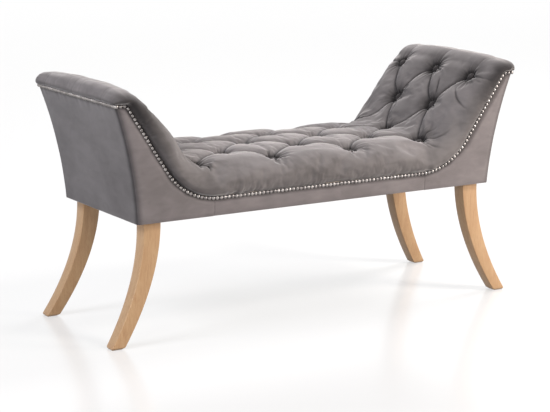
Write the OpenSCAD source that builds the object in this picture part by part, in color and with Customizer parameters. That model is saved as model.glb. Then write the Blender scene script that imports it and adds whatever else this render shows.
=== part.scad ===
// Upholstered bench with two flared arms, a deep-buttoned cover, rows of dome
// nails and four sabre legs.
// Origin on the floor at the middle of the bench. X runs along the length,
// the front faces -Y, and +Z is up. Lengths are in millimetres.

/* [Body] */
// Length of the body along the bottom of its rails
rail_length = 1058; // [980:2:1200]
// Depth of the body along the bottom of its rails
rail_depth = 408; // [370:2:480]
// Height of the underside of the rails above the floor
leg_height = 307; // [240:1:380]
// How far the front and rear faces lean out by the top of the arms
face_flare = 16; // [0:1:30]
// How far each end panel leans out by the top of the arms
end_flare = 62; // [30:1:80]
// Height of the top nails above the underside of the rails
arm_height = 295; // [270:1:340]
// Height of the lower nails above the underside of the rails
rail_height = 45; // [40:1:60]

/* [Nail line] */
// Radius of the sweep from the seat to the arm
sweep_radius = 172; // [140:1:190]
// Slope of the arm above the sweep, in degrees
sweep_angle = 57; // [50:1:62]
// Radius of the corner at the top of the arm
top_corner_radius = 12; // [8:1:18]
// Straight run of nails from that corner to the end panel
arm_top_run = 25; // [18:1:34]
// Diameter of a nail head
nail_diameter = 9.5; // [7:0.5:11]
// Height of a nail head
nail_dome = 2.6; // [1.5:0.1:4]
// Spacing of the nails
nail_pitch = 11; // [10:0.5:16]

/* [Padding] */
// Height of the seat crest above the lower nails
seat_crest = 83; // [74:1:98]
// Radius of the hollow where the seat meets the arm
hollow_radius = 105; // [70:1:120]
// Slope of the arm's padding, in degrees
slope_angle = 49; // [44:1:54]
// Radius of the shoulder at the top of the slope
shoulder_radius = 59; // [40:1:70]
// Flat width on top of the arm
arm_flat = 12; // [4:1:20]
// Radius of the roll on the outer side of the arm
roll_radius = 28; // [22:1:34]
// Radius of the tuck from the roll to the nails
tuck_radius = 12; // [8:1:16]
// How far the padding swells past the front and rear faces
front_swell = 13; // [6:1:18]
// Loft of the wadded cover over the seat foam
seat_loft = 30; // [28:1:34]
// Loft of the wadded cover over the arm foam
arm_loft = 22; // [20:1:26]

/* [Buttons] */
// Diameter of a covered button
button_diameter = 21; // [16:1:22]
// Height of a covered button
button_height = 6; // [4:0.5:8]
// Distance from the rail face to the front row of buttons
front_row_gap = 44; // [38:1:52]
// Distance from the last column of buttons to the shoulder
top_column_gap = 40; // [25:1:60]
// Depth of the buttons in the seat
seat_dip = 22; // [14:1:24]
// Depth of the top buttons in the arm
arm_dip = 15; // [10:1:17]
// Depth of the pleats between the buttons
pleat_depth = 8; // [4:1:10]
// Rise of the seat from its edges to its middle
crown = 13; // [6:1:16]

/* [Frame] */
// Thickness of the front and rear frame boards
board_thickness = 18; // [15:1:21]
// Thickness of the end boards
end_board_thickness = 4; // [3:0.5:6]
// Thickness of the end rails and battens
rail_thickness = 25; // [20:1:30]
// Height of the end rails
end_rail_height = 62; // [50:1:80]
// Height of the battens and corner blocks
batten_height = 42; // [35:1:45]
// Thickness of the top rail in the arm
arm_rail_thickness = 35; // [25:1:40]
// Height of the top rail in the arm
arm_rail_height = 45; // [35:1:60]
// Thickness of the outer fabric with its lining
cover_thickness = 3; // [2:0.5:4]
// Width of a webbing strap
webbing_width = 50; // [40:1:60]
// Spacing of the webbing straps
webbing_pitch = 75; // [65:1:90]
// Thickness of a webbing strap
webbing_thickness = 2; // [1:0.5:3]

/* [Legs] */
// Distance from the end of the rails to the outer edge of a leg at its top
leg_end_inset = 25; // [18:1:40]
// How far the foot of a leg sweeps out along the length
leg_sweep = 108; // [60:1:120]
// Width of a leg at its top, along the length
leg_top_width = 47; // [40:1:50]
// Width of a leg at its foot, along the length
leg_foot_width = 36; // [28:1:44]
// Thickness of a leg at its top, along the depth
leg_top_depth = 40; // [34:1:46]
// Thickness of a leg at its foot, along the depth
leg_foot_depth = 34; // [26:1:40]
// Set back of the legs from the rail face
leg_setback = 16; // [10:1:22]
// How far a front foot splays forward
front_splay = 8; // [0:1:20]
// How far a rear foot splays backward
rear_splay = 25; // [0:1:35]
// Chamfer round the bottom of a foot
foot_chamfer = 5; // [2:1:7]
// Diameter of a leg bolt
bolt_diameter = 8; // [6:1:10]
// Depth of a leg bolt in the leg
bolt_depth = 45; // [35:1:60]

/* [Hidden] */

velvet = "#85807f";
velvet_end = "#747170";
oak = "#cfa476";
pine = "#dcc290";
plywood = "#c9a878";
foam_cream = "#efe6c4";
steel = "#b9b9b6";
nickel = "#c8c4bb";
black_cloth = "#2b2a2c";
jute = "#b59a6a";

// Small sizes that belong to the pieces
overrun = rail_depth;
running_gap = 0.3;
nail_gap = 0.5;
edge_rise = nail_diameter / 2 + nail_gap;
board_rise = 12;
webbing_top_rise = board_rise + webbing_thickness;
tuck_lip = 3;
core_gap = 2;
bolt_clearance = 0.2;
foam_hole_diameter = 28;
dust_cover_thickness = 1;
dust_cover_inset = 12;
dust_cover_leg_gap = 3;
block_reach = 54;
block_flat = 42;
cross_rail_height = 34;
tack_rail_thickness = 20;
tack_rail_height = 30;
nut_width = 13;
nut_height = 6.5;
washer_diameter = 24;
washer_thickness = 1.6;
arc_steps = 12;
short_arc_steps = 4;
leg_steps = 14;

// Shares of a size that shape the outlines
end_straight_share = 0.28;
seam_share = 0.6;
tack_rail_share = 0.5;
cross_rail_share = 0.3;
tuck_turn_angle = 60;
leg_curve_share = 1.9;
station_shares = [0.27, 0.5, 0.73];
row_shares = [0.5, 0.86];
split_share = 2.73;
column_count = 5;
row_count = 2;
pleat_fade_share = 0.5;
swell_end_share = 0.3;

// The two leaning faces and the flared ends, at a height above the floor
function rise(z) = (z - leg_height) / arm_height;
function face_y(z) = rail_depth / 2 + face_flare * rise(z);
function end_x(z) =
  rail_length / 2 + end_flare * (end_straight_share * rise(z) + (1 - end_straight_share) * pow(rise(z), 2));
function end_slope(z) =
  atan(end_flare / arm_height * (end_straight_share + 2 * (1 - end_straight_share) * rise(z)));
face_lean = atan(face_flare / arm_height);

// A path is a list of [length, turn] pieces. walk() gives [x, z, heading] after a distance.
function arc_length(radius, angle) = radius * angle * PI / 180;
function piece_end(at, piece, done) =
  let (swept = piece[0] > 0 ? piece[1] * done / piece[0] : 0)
  piece[1] == 0
    ? [at[0] + done * cos(at[2]), at[1] + done * sin(at[2]), at[2]]
    : let (radius = piece[0] / (piece[1] * PI / 180))
      [at[0] + radius * (sin(at[2] + swept) - sin(at[2])),
       at[1] + radius * (cos(at[2]) - cos(at[2] + swept)),
       at[2] + swept];
function walk(path, distance, at, i = 0) =
  distance <= path[i][0] || i == len(path) - 1
    ? piece_end(at, path[i], min(distance, path[i][0]))
    : walk(path, distance - path[i][0], piece_end(at, path[i], path[i][0]), i + 1);
function raised(at, height) = [at[0] - height * sin(at[2]), at[1] + height * cos(at[2])];
function total(path, count) = count == 0 ? 0 : path[count - 1][0] + total(path, count - 1);

// Line of the nails on the front face, from the middle of the bench to the right end
top_nail_z = leg_height + arm_height;
low_nail_z = leg_height + rail_height;
nail_straight =
  (arm_height - rail_height - (sweep_radius + top_corner_radius) * (1 - cos(sweep_angle))) / sin(sweep_angle);
edge_z = top_nail_z + edge_rise;
nail_flat = end_x(edge_z) - arm_top_run - (top_corner_radius + sweep_radius) * sin(sweep_angle)
  - nail_straight * cos(sweep_angle);
nail_path = [
  [nail_flat, 0],
  [arc_length(sweep_radius, sweep_angle), sweep_angle],
  [nail_straight, 0],
  [arc_length(top_corner_radius, sweep_angle), -sweep_angle],
  [arm_top_run, 0]
];
function nail_at(distance) = walk(nail_path, distance, [0, low_nail_z, 0]);

// Crest of the padding, from the middle of the seat to the nails on the right end panel
crest_low_z = low_nail_z + seat_crest;
crest_end_x = end_x(edge_z) + tuck_lip;
slope_length = (edge_z - crest_low_z + roll_radius + tuck_radius * sin(tuck_turn_angle)
  - (hollow_radius + shoulder_radius) * (1 - cos(slope_angle))) / sin(slope_angle);
crest_flat = crest_end_x + tuck_radius * (1 - cos(tuck_turn_angle)) - roll_radius - arm_flat
  - (shoulder_radius + hollow_radius) * sin(slope_angle) - slope_length * cos(slope_angle);
crest_path = [
  [crest_flat, 0],
  [arc_length(hollow_radius, slope_angle), slope_angle],
  [slope_length, 0],
  [arc_length(shoulder_radius, slope_angle), -slope_angle],
  [arm_flat, 0],
  [arc_length(roll_radius, 90), -90],
  [arc_length(tuck_radius, tuck_turn_angle), -tuck_turn_angle]
];
function crest_at(distance) = walk(crest_path, distance, [0, crest_low_z, 0]);
hollow_start = crest_flat;
hollow_end = total(crest_path, 2);
shoulder_start = total(crest_path, 3);
roll_start = total(crest_path, 5);
tuck_start = total(crest_path, 6);
crest_end = total(crest_path, 7);

// Edge of the padded cover that belongs to a place on the crest
function edge_at(s) =
  raised(nail_at(lookup(s, [
    [0, 0],
    [hollow_start, total(nail_path, 1)],
    [hollow_end, total(nail_path, 2)],
    [shoulder_start, total(nail_path, 3)],
    [roll_start, total(nail_path, 4)],
    [crest_end, total(nail_path, 5)]
  ])), edge_rise);

// Underside of the padded cover, over the foam and then over the arm's top rail
function loft(s) = lookup(s, [[hollow_start, seat_loft], [shoulder_start, arm_loft]]);
rail_top_z = top_nail_z + board_rise;
rail_outer_x = end_x(rail_top_z) - cover_thickness - end_board_thickness;
function core_at(s) =
  let (last = raised(crest_at(roll_start), -arm_loft))
  s <= roll_start
    ? raised(crest_at(s), -loft(s))
    : [lookup(s, [[roll_start, last[0]], [tuck_start, rail_outer_x + core_gap], [crest_end, end_x(edge_z)]]),
       lookup(s, [[roll_start, last[1]], [tuck_start, rail_top_z + core_gap], [crest_end, edge_z]])];

// Button grid: columns along the crest, rows across the depth, every second place filled
column = (shoulder_start - top_column_gap) / column_count;
row = (rail_depth / 2 - front_row_gap) / row_count;
button_seat = button_diameter / 2 + nail_gap;
top_edge = row_count * row + button_seat;
function is_button(i, j) = (i + j) % 2 != 0 && abs(i) <= column_count && abs(j) <= row_count;
function dip(s) = lookup(s, [[0, seat_dip], [column * 3, seat_dip], [column * column_count, arm_dip]]);
function crown_at(s, w) =
  crown * (1 - pow(min(1, abs(w) / top_edge), 3))
    * fade((shoulder_start - s) / (shoulder_start - hollow_start));
function valley(v) = pow(1 - 2 * abs(v - round(v)), 1.6);
function fade(v) = max(0, min(1, v));

// Height of the tufted surface over the crest path, level on the seat of a button
function on_seat(s, w) =
  is_button(round(s / column), round(w / row))
    && abs(s - round(s / column) * column) < button_seat + nail_gap
    && abs(w - round(w / row) * row) < button_seat + nail_gap;
function seat_height(i, j) = crown_at(abs(i) * column, j * row) - dip(abs(i) * column);
function pleats(s, w) =
  let (
    first = valley((s / column + w / row - 1) / 2),
    second = valley((s / column - w / row - 1) / 2),
    inside = fade(1 - (s / column - column_count) / pleat_fade_share)
      * fade(1 - (abs(w) / row - row_count) / pleat_fade_share),
    last = column_count * column,
    over_arm = s < last ? 0 : 1 - (s - last) / (crest_end - last),
    off_row = abs(w - 2 * row * round(w / row / 2)),
    straight = fade(1 - off_row / button_seat / 2)
  )
  inside * (pleat_depth * max(first, second) + (dip(s) - pleat_depth) * first * second)
    + pleat_depth * over_arm * straight;
function tuft(s, w) =
  on_seat(s, w)
    ? seat_height(round(s / column), round(w / row))
    : crown_at(s, w) - pleats(s, w);
function padding_at(s, w) =
  on_seat(s, w)
    ? let (
        i = round(s / column),
        at = crest_at(i * column),
        seat = raised(at, seat_height(i, round(w / row)))
      )
      [seat[0] + (s - i * column) * cos(at[2]), seat[1] + (s - i * column) * sin(at[2])]
    : raised(crest_at(s), tuft(s, w));

// Stations along the crest and rows across it
function column_stations(i) =
  concat([i * column, i * column + button_seat], [for (share = station_shares) (i + share) * column],
    [(i + 1) * column - button_seat]);
split = split_share * column;
seat_half_stations = concat(column_stations(0), column_stations(1),
  [for (s = column_stations(2)) if (s <= split + nail_gap) s]);
seat_stations = concat([for (i = [len(seat_half_stations) - 1 : -1 : 1]) -seat_half_stations[i]],
  seat_half_stations);
tail_start = column_count * column + button_seat;
tail_steps = 11;
arm_stations = concat(
  [for (s = column_stations(2)) if (s > split - nail_gap) s],
  column_stations(3), column_stations(4), [column_count * column],
  [for (i = [0 : tail_steps]) tail_start + (crest_end - tail_start) * i / tail_steps]);
half_rows = concat([button_seat, row * row_shares[0]],
  [for (j = [1, 2]) each [j * row - button_seat, j * row, j * row + button_seat,
    if (j < row_count) (j + row_shares[0]) * row]]);
rows = concat([for (i = [len(half_rows) - 1 : -1 : 0]) -half_rows[i]], [0], half_rows);
roll_steps = 6;

// One closed ring round the padded cover, from the front edge over the top to the rear edge
// and back along the foam
function mixed(a, b, share) = a + (b - a) * share;
function roll_point(s, side, i) =
  let (
    at = crest_at(s),
    edge = edge_at(s),
    fade_out = mixed(1, swell_end_share, fade((s - roll_start) / (crest_end - roll_start))),
    wide_y = face_y((at[1] + edge[1]) / 2) + front_swell * fade_out,
    edge_y = face_y(edge[1]),
    last_angle = 180 - asin((edge_y - top_edge) / (wide_y - top_edge)),
    angle = last_angle * i / roll_steps,
    down = (1 - cos(angle)) / (1 - cos(last_angle)),
    top = raised(at, tuft(s, top_edge) * fade(1 - 2 * i / roll_steps)),
    place = mixed(top, edge, down)
  )
  [place[0], side * mixed(top_edge, wide_y, sin(angle)), place[1]];
function ring_right(s) =
  let (edge = edge_at(s), core = core_at(s))
  concat(
    [for (i = [roll_steps : -1 : 1]) roll_point(s, -1, i)],
    [for (w = rows) let (place = padding_at(s, w)) [place[0], w, place[1]]],
    [for (i = [1 : roll_steps]) roll_point(s, 1, i)],
    [[edge[0], face_y(edge[1]) - cover_thickness, edge[1]],
     [core[0], face_y(core[1]) - cover_thickness, core[1]],
     [core[0], cover_thickness - face_y(core[1]), core[1]],
     [edge[0], cover_thickness - face_y(edge[1]), edge[1]]]
  );
function ring(s) = s >= 0 ? ring_right(s) : [for (p = ring_right(-s)) [-p[0], p[1], p[2]]];
outer_count = 2 * roll_steps + len(rows);
ring_count = outer_count + 4;
function cap_faces(base, turned) =
  let (
    middle = (outer_count - 1) / 2,
    rear_edge = outer_count,
    rear_core = outer_count + 1,
    front_core = outer_count + 2,
    front_edge = outer_count + 3,
    faces = concat(
      [for (i = [0 : middle - 1]) [i, i + 1, front_core]],
      [[middle, rear_core, front_core]],
      [for (i = [middle : outer_count - 2]) [i, i + 1, rear_core]],
      [[outer_count - 1, rear_edge, rear_core], [front_core, front_edge, 0]])
  )
  [for (f = faces)
    turned ? [base + f[2], base + f[1], base + f[0]] : [base + f[0], base + f[1], base + f[2]]];
module padded_cover(stations) {
  rings = [for (s = stations) ring(s)];
  side_faces = [for (k = [0 : len(stations) - 2], j = [0 : ring_count - 1])
    let (
      a = k * ring_count + j,
      b = k * ring_count + (j + 1) % ring_count,
      c = b + ring_count,
      d = a + ring_count
    )
    each [[a, b, c], [a, c, d]]];
  polyhedron(
    points = [for (r = rings) each r],
    faces = concat(side_faces, cap_faces(0, true), cap_faces((len(stations) - 1) * ring_count, false))
  );
}

// Prisms along the depth and the space between the leaning faces
module along_depth() {
  rotate([90, 0, 0])
    linear_extrude(2 * overrun, center = true)
      children();
}
module along_length() {
  rotate([90, 0, 90])
    linear_extrude(2 * rail_length, center = true)
      children();
}
module between_faces(inset) {
  low = leg_height - overrun;
  high = top_nail_z + overrun;
  along_length()
    polygon([
      [inset - face_y(low), low], [face_y(low) - inset, low],
      [face_y(high) - inset, high], [inset - face_y(high), high]
    ]);
}
module front_slab(outer, inner) {
  low = leg_height - overrun;
  high = top_nail_z + overrun;
  along_length()
    polygon([
      [outer - face_y(low), low], [inner - face_y(low), low],
      [inner - face_y(high), high], [outer - face_y(high), high]
    ]);
}

// Outline of one half of a front face: up the end, back along the sweep, out to the middle
sweep_distances = concat(
  [0],
  [for (i = [0 : arc_steps]) total(nail_path, 1) + nail_path[1][0] * i / arc_steps],
  [for (i = [0 : short_arc_steps]) total(nail_path, 3) + nail_path[3][0] * i / short_arc_steps]);
function end_line(high_z, inset) =
  [for (i = [0 : arc_steps]) let (z = mixed(leg_height, high_z, i / arc_steps)) [end_x(z) - inset, z]];
function half_face(rise_over_nails, inset) =
  concat(
    [[0, leg_height]],
    end_line(top_nail_z + rise_over_nails, inset),
    [for (i = [len(sweep_distances) - 1 : -1 : 0]) raised(nail_at(sweep_distances[i]), rise_over_nails)]);
seam_x = seam_share * rail_length / 2;
module right_half_face(rise_over_nails, inset) {
  along_depth()
    polygon(half_face(rise_over_nails, inset));
}
module middle_zone() {
  translate([-seam_x, -overrun, 0])
    cube([2 * seam_x, 2 * overrun, 2 * top_nail_z]);
}
module rail_sheet(rise_over_nails, outer, inner) {
  intersection() {
    union() {
      right_half_face(rise_over_nails, 0);
      mirror([1, 0, 0])
        right_half_face(rise_over_nails, 0);
    }
    middle_zone();
    front_slab(outer, inner);
  }
}
module cheek_sheet(rise_over_nails, inset, outer, inner) {
  difference() {
    intersection() {
      right_half_face(rise_over_nails, inset);
      front_slab(outer, inner);
    }
    middle_zone();
  }
}
module front_rail_board() {
  color(plywood)
    rail_sheet(board_rise, cover_thickness, cover_thickness + board_thickness);
}
module rear_rail_board() {
  mirror([0, 1, 0])
    front_rail_board();
}
module front_right_cheek_board() {
  color(plywood)
    cheek_sheet(board_rise, cover_thickness + end_board_thickness, cover_thickness,
      cover_thickness + board_thickness);
}
module front_left_cheek_board() {
  mirror([1, 0, 0])
    front_right_cheek_board();
}
module rear_right_cheek_board() {
  mirror([0, 1, 0])
    front_right_cheek_board();
}
module rear_left_cheek_board() {
  mirror([1, 0, 0])
    rear_right_cheek_board();
}

// Battens, rails and blocks inside the boards
board_inner = cover_thickness + board_thickness;
end_inner = cover_thickness + end_board_thickness;
leg_inner = rail_length / 2 - leg_end_inset - leg_top_width;
bolt_x = leg_inner + leg_top_width / 2;
bolt_y = rail_depth / 2 - leg_setback - leg_top_depth / 2;
block_outer_x = rail_length / 2 - end_inner - rail_thickness;
block_inner_x = bolt_x - block_reach;
module front_batten() {
  color(pine)
    intersection() {
      front_slab(board_inner, board_inner + rail_thickness);
      translate([-block_inner_x, -overrun, leg_height])
        cube([2 * block_inner_x, 2 * overrun, batten_height]);
    }
}
module rear_batten() {
  mirror([0, 1, 0])
    front_batten();
}
module right_end_rail() {
  color(pine)
    intersection() {
      along_depth()
        polygon(concat(
          [[block_outer_x, leg_height]],
          end_line(leg_height + end_rail_height, end_inner),
          [[block_outer_x, leg_height + end_rail_height]]));
      between_faces(board_inner);
    }
}
module left_end_rail() {
  mirror([1, 0, 0])
    right_end_rail();
}
module right_arm_top_rail() {
  low_z = rail_top_z - arm_rail_height;
  inner_x = end_x(low_z) - end_inner - arm_rail_thickness;
  color(pine)
    intersection() {
      along_depth()
        polygon(concat(
          [[inner_x, low_z]],
          [for (i = [0 : short_arc_steps])
            let (z = mixed(low_z, rail_top_z, i / short_arc_steps))
            [end_x(z) - end_inner, z]],
          [[inner_x, rail_top_z]]));
      right_half_face(board_rise, end_inner);
      between_faces(board_inner);
    }
}
module left_arm_top_rail() {
  mirror([1, 0, 0])
    right_arm_top_rail();
}
module right_arm_tack_rail() {
  low_z = leg_height + tack_rail_share * arm_height;
  color(pine)
    intersection() {
      along_depth()
        polygon([for (corner = [[0, 0], [1, 0], [1, 1], [0, 1]])
          let (z = low_z + corner[1] * tack_rail_height)
          [end_x(z) - end_inner - (1 - corner[0]) * tack_rail_thickness, z]]);
      between_faces(board_inner);
    }
}
module left_arm_tack_rail() {
  mirror([1, 0, 0])
    right_arm_tack_rail();
}
module seat_cross_rails() {
  color(pine)
    intersection() {
      for (side = [-1, 1])
        translate([
          side * cross_rail_share * rail_length / 2 - rail_thickness / 2,
          -overrun,
          leg_height + batten_height - cross_rail_height
        ])
          cube([rail_thickness, 2 * overrun, cross_rail_height]);
      between_faces(board_inner + rail_thickness);
    }
}
module corner_block() {
  inner_y = bolt_y - block_reach;
  flat_y = rail_depth / 2 - board_inner - block_flat;
  difference() {
    intersection() {
      translate([0, 0, leg_height])
        linear_extrude(batten_height)
          polygon([
            [block_outer_x, -rail_depth], [block_outer_x, -inner_y],
            [block_outer_x - block_flat, -inner_y], [block_inner_x, -flat_y],
            [block_inner_x, -rail_depth]
          ]);
      between_faces(board_inner);
    }
    translate([bolt_x, -bolt_y, leg_height - overrun / 2])
      cylinder(d = bolt_diameter + 2 * bolt_clearance, h = overrun, $fn = 32);
  }
}
module each_corner() {
  children();
  mirror([1, 0, 0])
    children();
  mirror([0, 1, 0])
    children();
  mirror([1, 0, 0])
    mirror([0, 1, 0])
      children();
}
module corner_blocks() {
  color(pine)
    each_corner()
      corner_block();
}
module right_end_board() {
  color(plywood)
    intersection() {
      along_depth()
        polygon(concat(
          end_line(edge_z, cover_thickness),
          [for (i = [arc_steps : -1 : 0]) end_line(edge_z, end_inner)[i]]));
      between_faces(cover_thickness);
    }
}
module left_end_board() {
  mirror([1, 0, 0])
    right_end_board();
}

// Webbing across the boards' edges
function strap_place(distance, rise_over_nails) =
  distance >= 0
    ? raised(nail_at(distance), rise_over_nails)
    : let (p = raised(nail_at(-distance), rise_over_nails)) [-p[0], p[1]];
module strap(middle) {
  stops = [for (i = [-2 : 2]) middle + webbing_width / 4 * i];
  along_depth()
    polygon(concat(
      [for (t = stops) strap_place(t, board_rise)],
      [for (i = [4 : -1 : 0]) strap_place(stops[i], webbing_top_rise)]));
}
seat_straps = floor((nail_flat - webbing_width / 4) / webbing_pitch);
arm_strap_limit = total(nail_path, 3) - webbing_width / 2;
module seat_webbing() {
  color(jute)
    intersection() {
      for (i = [-seat_straps : seat_straps])
        strap(i * webbing_pitch);
      between_faces(cover_thickness);
    }
}
module right_arm_webbing() {
  color(jute)
    intersection() {
      for (t = [(seat_straps + 1) * webbing_pitch : webbing_pitch : arm_strap_limit])
        strap(t);
      between_faces(cover_thickness);
    }
}
module left_arm_webbing() {
  mirror([1, 0, 0])
    right_arm_webbing();
}

// Foam between the webbing and the padded cover, with a hole under each button
function bends(stations) =
  [for (i = [0 : len(stations) - 1])
    if (i == 0 || i == len(stations) - 1
      || abs(crest_at(abs(stations[i - 1]))[2] - crest_at(abs(stations[i + 1]))[2]) > 0)
      stations[i]];
function core_place(s) =
  let (p = core_at(abs(s)))
  [s < 0 ? -p[0] : p[0], p[1]];
function foam_low_place(s) =
  let (p = foam_bottom_at(abs(s)))
  [s < 0 ? -p[0] : p[0], p[1]];
function foam_bottom_at(s) =
  raised(nail_at(lookup(s, [
    [0, 0],
    [hollow_start, total(nail_path, 1)],
    [hollow_end, total(nail_path, 2)],
    [shoulder_start, total(nail_path, 3)],
    [roll_start, total(nail_path, 4)]
  ])), webbing_top_rise);
module foam_holes(columns) {
  for (i = columns, j = [-row_count : row_count])
    if (is_button(i, j)) {
      at = crest_at(abs(i) * column);
      side = i < 0 ? -1 : 1;
      translate([side * at[0], j * row, at[1]])
        rotate([0, -side * at[2], 0])
          translate([0, 0, -seat_crest - crown])
            cylinder(d = foam_hole_diameter, h = seat_crest + 2 * crown, $fn = 32);
    }
}
module foam(stations, columns) {
  kept = bends(stations);
  difference() {
    intersection() {
      along_depth()
        polygon(concat(
          [for (s = kept) foam_low_place(s)],
          [for (i = [len(kept) - 1 : -1 : 0]) core_place(kept[i])]));
      between_faces(cover_thickness);
    }
    foam_holes(columns);
  }
}
module seat_foam() {
  color(foam_cream)
    foam(seat_stations, [-2 : 2]);
}
module right_arm_foam() {
  color(foam_cream)
    foam([for (s = arm_stations) if (s < tail_start + nail_gap) s], [3 : column_count]);
}
module left_arm_foam() {
  mirror([1, 0, 0])
    right_arm_foam();
}

// Deep-buttoned cover with its wadding
module seat_cover() {
  color(velvet)
    padded_cover(seat_stations);
}
module right_arm_cover() {
  color(velvet)
    padded_cover(arm_stations);
}
module left_arm_cover() {
  mirror([1, 0, 0])
    right_arm_cover();
}

// Plain covers on the rails, the cheeks and the ends
module front_rail_cover() {
  color(velvet)
    rail_sheet(edge_rise, 0, cover_thickness);
}
module rear_rail_cover() {
  mirror([0, 1, 0])
    front_rail_cover();
}
module front_right_cheek_cover() {
  color(velvet)
    cheek_sheet(edge_rise, 0, 0, cover_thickness);
}
module front_left_cheek_cover() {
  mirror([1, 0, 0])
    front_right_cheek_cover();
}
module rear_right_cheek_cover() {
  mirror([0, 1, 0])
    front_right_cheek_cover();
}
module rear_left_cheek_cover() {
  mirror([1, 0, 0])
    rear_right_cheek_cover();
}
module right_end_cover() {
  color(velvet_end)
    intersection() {
      along_depth()
        polygon(concat(
          end_line(edge_z, 0),
          [for (i = [arc_steps : -1 : 0]) end_line(edge_z, cover_thickness)[i]]));
      between_faces(cover_thickness);
    }
}
module left_end_cover() {
  mirror([1, 0, 0])
    right_end_cover();
}
module dust_cover() {
  half_x = rail_length / 2 - dust_cover_inset;
  half_y = rail_depth / 2 - dust_cover_inset;
  leg_x = leg_inner - dust_cover_leg_gap;
  leg_y = rail_depth / 2 - leg_setback - leg_top_depth - dust_cover_leg_gap;
  color(black_cloth)
    translate([0, 0, leg_height - dust_cover_thickness])
      linear_extrude(dust_cover_thickness)
        polygon([
          [-half_x, -leg_y], [-leg_x, -leg_y], [-leg_x, -half_y], [leg_x, -half_y],
          [leg_x, -leg_y], [half_x, -leg_y], [half_x, leg_y], [leg_x, leg_y],
          [leg_x, half_y], [-leg_x, half_y], [-leg_x, leg_y], [-half_x, leg_y]
        ]);
}

// Sabre legs: the sweep along the length and the splay along the depth cross each other
function swept(start, reach, fall) = start + reach * pow(fall, leg_curve_share);
function chamfered(inner, outer) =
  let (
    low = leg_steps - 1,
    share = 1 - foot_chamfer * leg_steps / leg_height
  )
  concat(
    [for (i = [0 : low]) [inner[i], leg_height * (1 - i / leg_steps)]],
    [[mixed(inner[low], inner[leg_steps], share), foot_chamfer],
     [inner[leg_steps] + foot_chamfer, 0], [outer[leg_steps] - foot_chamfer, 0],
     [mixed(outer[low], outer[leg_steps], share), foot_chamfer]],
    [for (i = [low : -1 : 0]) [outer[i], leg_height * (1 - i / leg_steps)]]);
function swept_line(start, reach, top_width, foot_width) =
  [for (i = [0 : leg_steps])
    let (fall = i / leg_steps)
    swept(start, reach, fall) + mixed(top_width, foot_width, fall)];
module leg(splay) {
  front_y = rail_depth / 2 - leg_setback;
  difference() {
    intersection() {
      along_depth()
        polygon(chamfered(
          swept_line(leg_inner, leg_sweep, 0, 0),
          swept_line(leg_inner, leg_sweep, leg_top_width, leg_foot_width)));
      along_length()
        polygon([for (p = chamfered(
          swept_line(front_y, splay, -leg_top_depth, -leg_foot_depth),
          swept_line(front_y, splay, 0, 0))) [-p[0], p[1]]]);
    }
    translate([bolt_x, -bolt_y, leg_height - bolt_depth])
      cylinder(d = bolt_diameter + 2 * bolt_clearance, h = leg_height, $fn = 32);
  }
}
module front_right_leg() {
  color(oak)
    leg(front_splay);
}
module front_left_leg() {
  mirror([1, 0, 0])
    front_right_leg();
}
module rear_right_leg() {
  color(oak)
    mirror([0, 1, 0])
      leg(rear_splay);
}
module rear_left_leg() {
  mirror([1, 0, 0])
    rear_right_leg();
}
module leg_bolts() {
  low = leg_height - bolt_depth + running_gap;
  high = leg_height + batten_height + washer_thickness + nut_height + bolt_diameter / 2;
  color(steel)
    each_corner()
      translate([bolt_x, -bolt_y, low])
        cylinder(d = bolt_diameter, h = high - low, $fn = 32);
}
module leg_nuts() {
  bore = bolt_diameter + 2 * bolt_clearance;
  color(steel)
    each_corner()
      translate([bolt_x, -bolt_y, leg_height + batten_height])
        difference() {
          union() {
            cylinder(d = washer_diameter, h = washer_thickness, $fn = 32);
            cylinder(d = nut_width / cos(30), h = washer_thickness + nut_height, $fn = 6);
          }
          translate([0, 0, -nut_height])
            cylinder(d = bore, h = 4 * nut_height, $fn = 32);
        }
}

// Domes: covered buttons and nail heads
module dome(diameter, height) {
  radius = (pow(diameter / 2, 2) + pow(height, 2)) / (2 * height);
  intersection() {
    translate([0, 0, height - radius])
      sphere(r = radius, $fn = 48);
    translate([-diameter, -diameter, 0])
      cube([2 * diameter, 2 * diameter, 2 * height]);
  }
}
module buttons(columns) {
  for (i = columns, j = [-row_count : row_count])
    if (is_button(i, j)) {
      at = crest_at(abs(i) * column);
      side = i < 0 ? -1 : 1;
      seat = raised(at, seat_height(i, j) + running_gap);
      translate([side * seat[0], j * row, seat[1]])
        rotate([0, -side * at[2], 0])
          dome(button_diameter, button_height);
    }
}
module seat_buttons() {
  color(velvet)
    buttons([-2 : 2]);
}
module right_arm_buttons() {
  color(velvet)
    buttons([3 : column_count]);
}
module left_arm_buttons() {
  mirror([1, 0, 0])
    right_arm_buttons();
}
nail_line_length = total(nail_path, 5) - nail_diameter / 2;
nail_steps = floor(nail_line_length / nail_pitch);
module front_nail(distance, side) {
  at = nail_at(distance);
  translate([side * at[0], -face_y(at[1]), at[1]])
    rotate([90 + face_lean, 0, 0])
      dome(nail_diameter, nail_dome);
}
module front_nails() {
  color(nickel) {
    front_nail(0, 1);
    for (i = [1 : nail_steps], side = [-1, 1])
      front_nail(nail_line_length * i / nail_steps, side);
  }
}
module rear_nails() {
  mirror([0, 1, 0])
    front_nails();
}
end_nail_reach = face_y(top_nail_z) - nail_diameter / 2;
end_nail_steps = floor(2 * end_nail_reach / nail_pitch);
module right_end_nails() {
  color(nickel)
    for (i = [0 : end_nail_steps])
      translate([end_x(top_nail_z), mixed(-end_nail_reach, end_nail_reach, i / end_nail_steps), top_nail_z])
        rotate([0, 90 + end_slope(top_nail_z), 0])
          dome(nail_diameter, nail_dome);
}
module left_end_nails() {
  mirror([1, 0, 0])
    right_end_nails();
}

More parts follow.
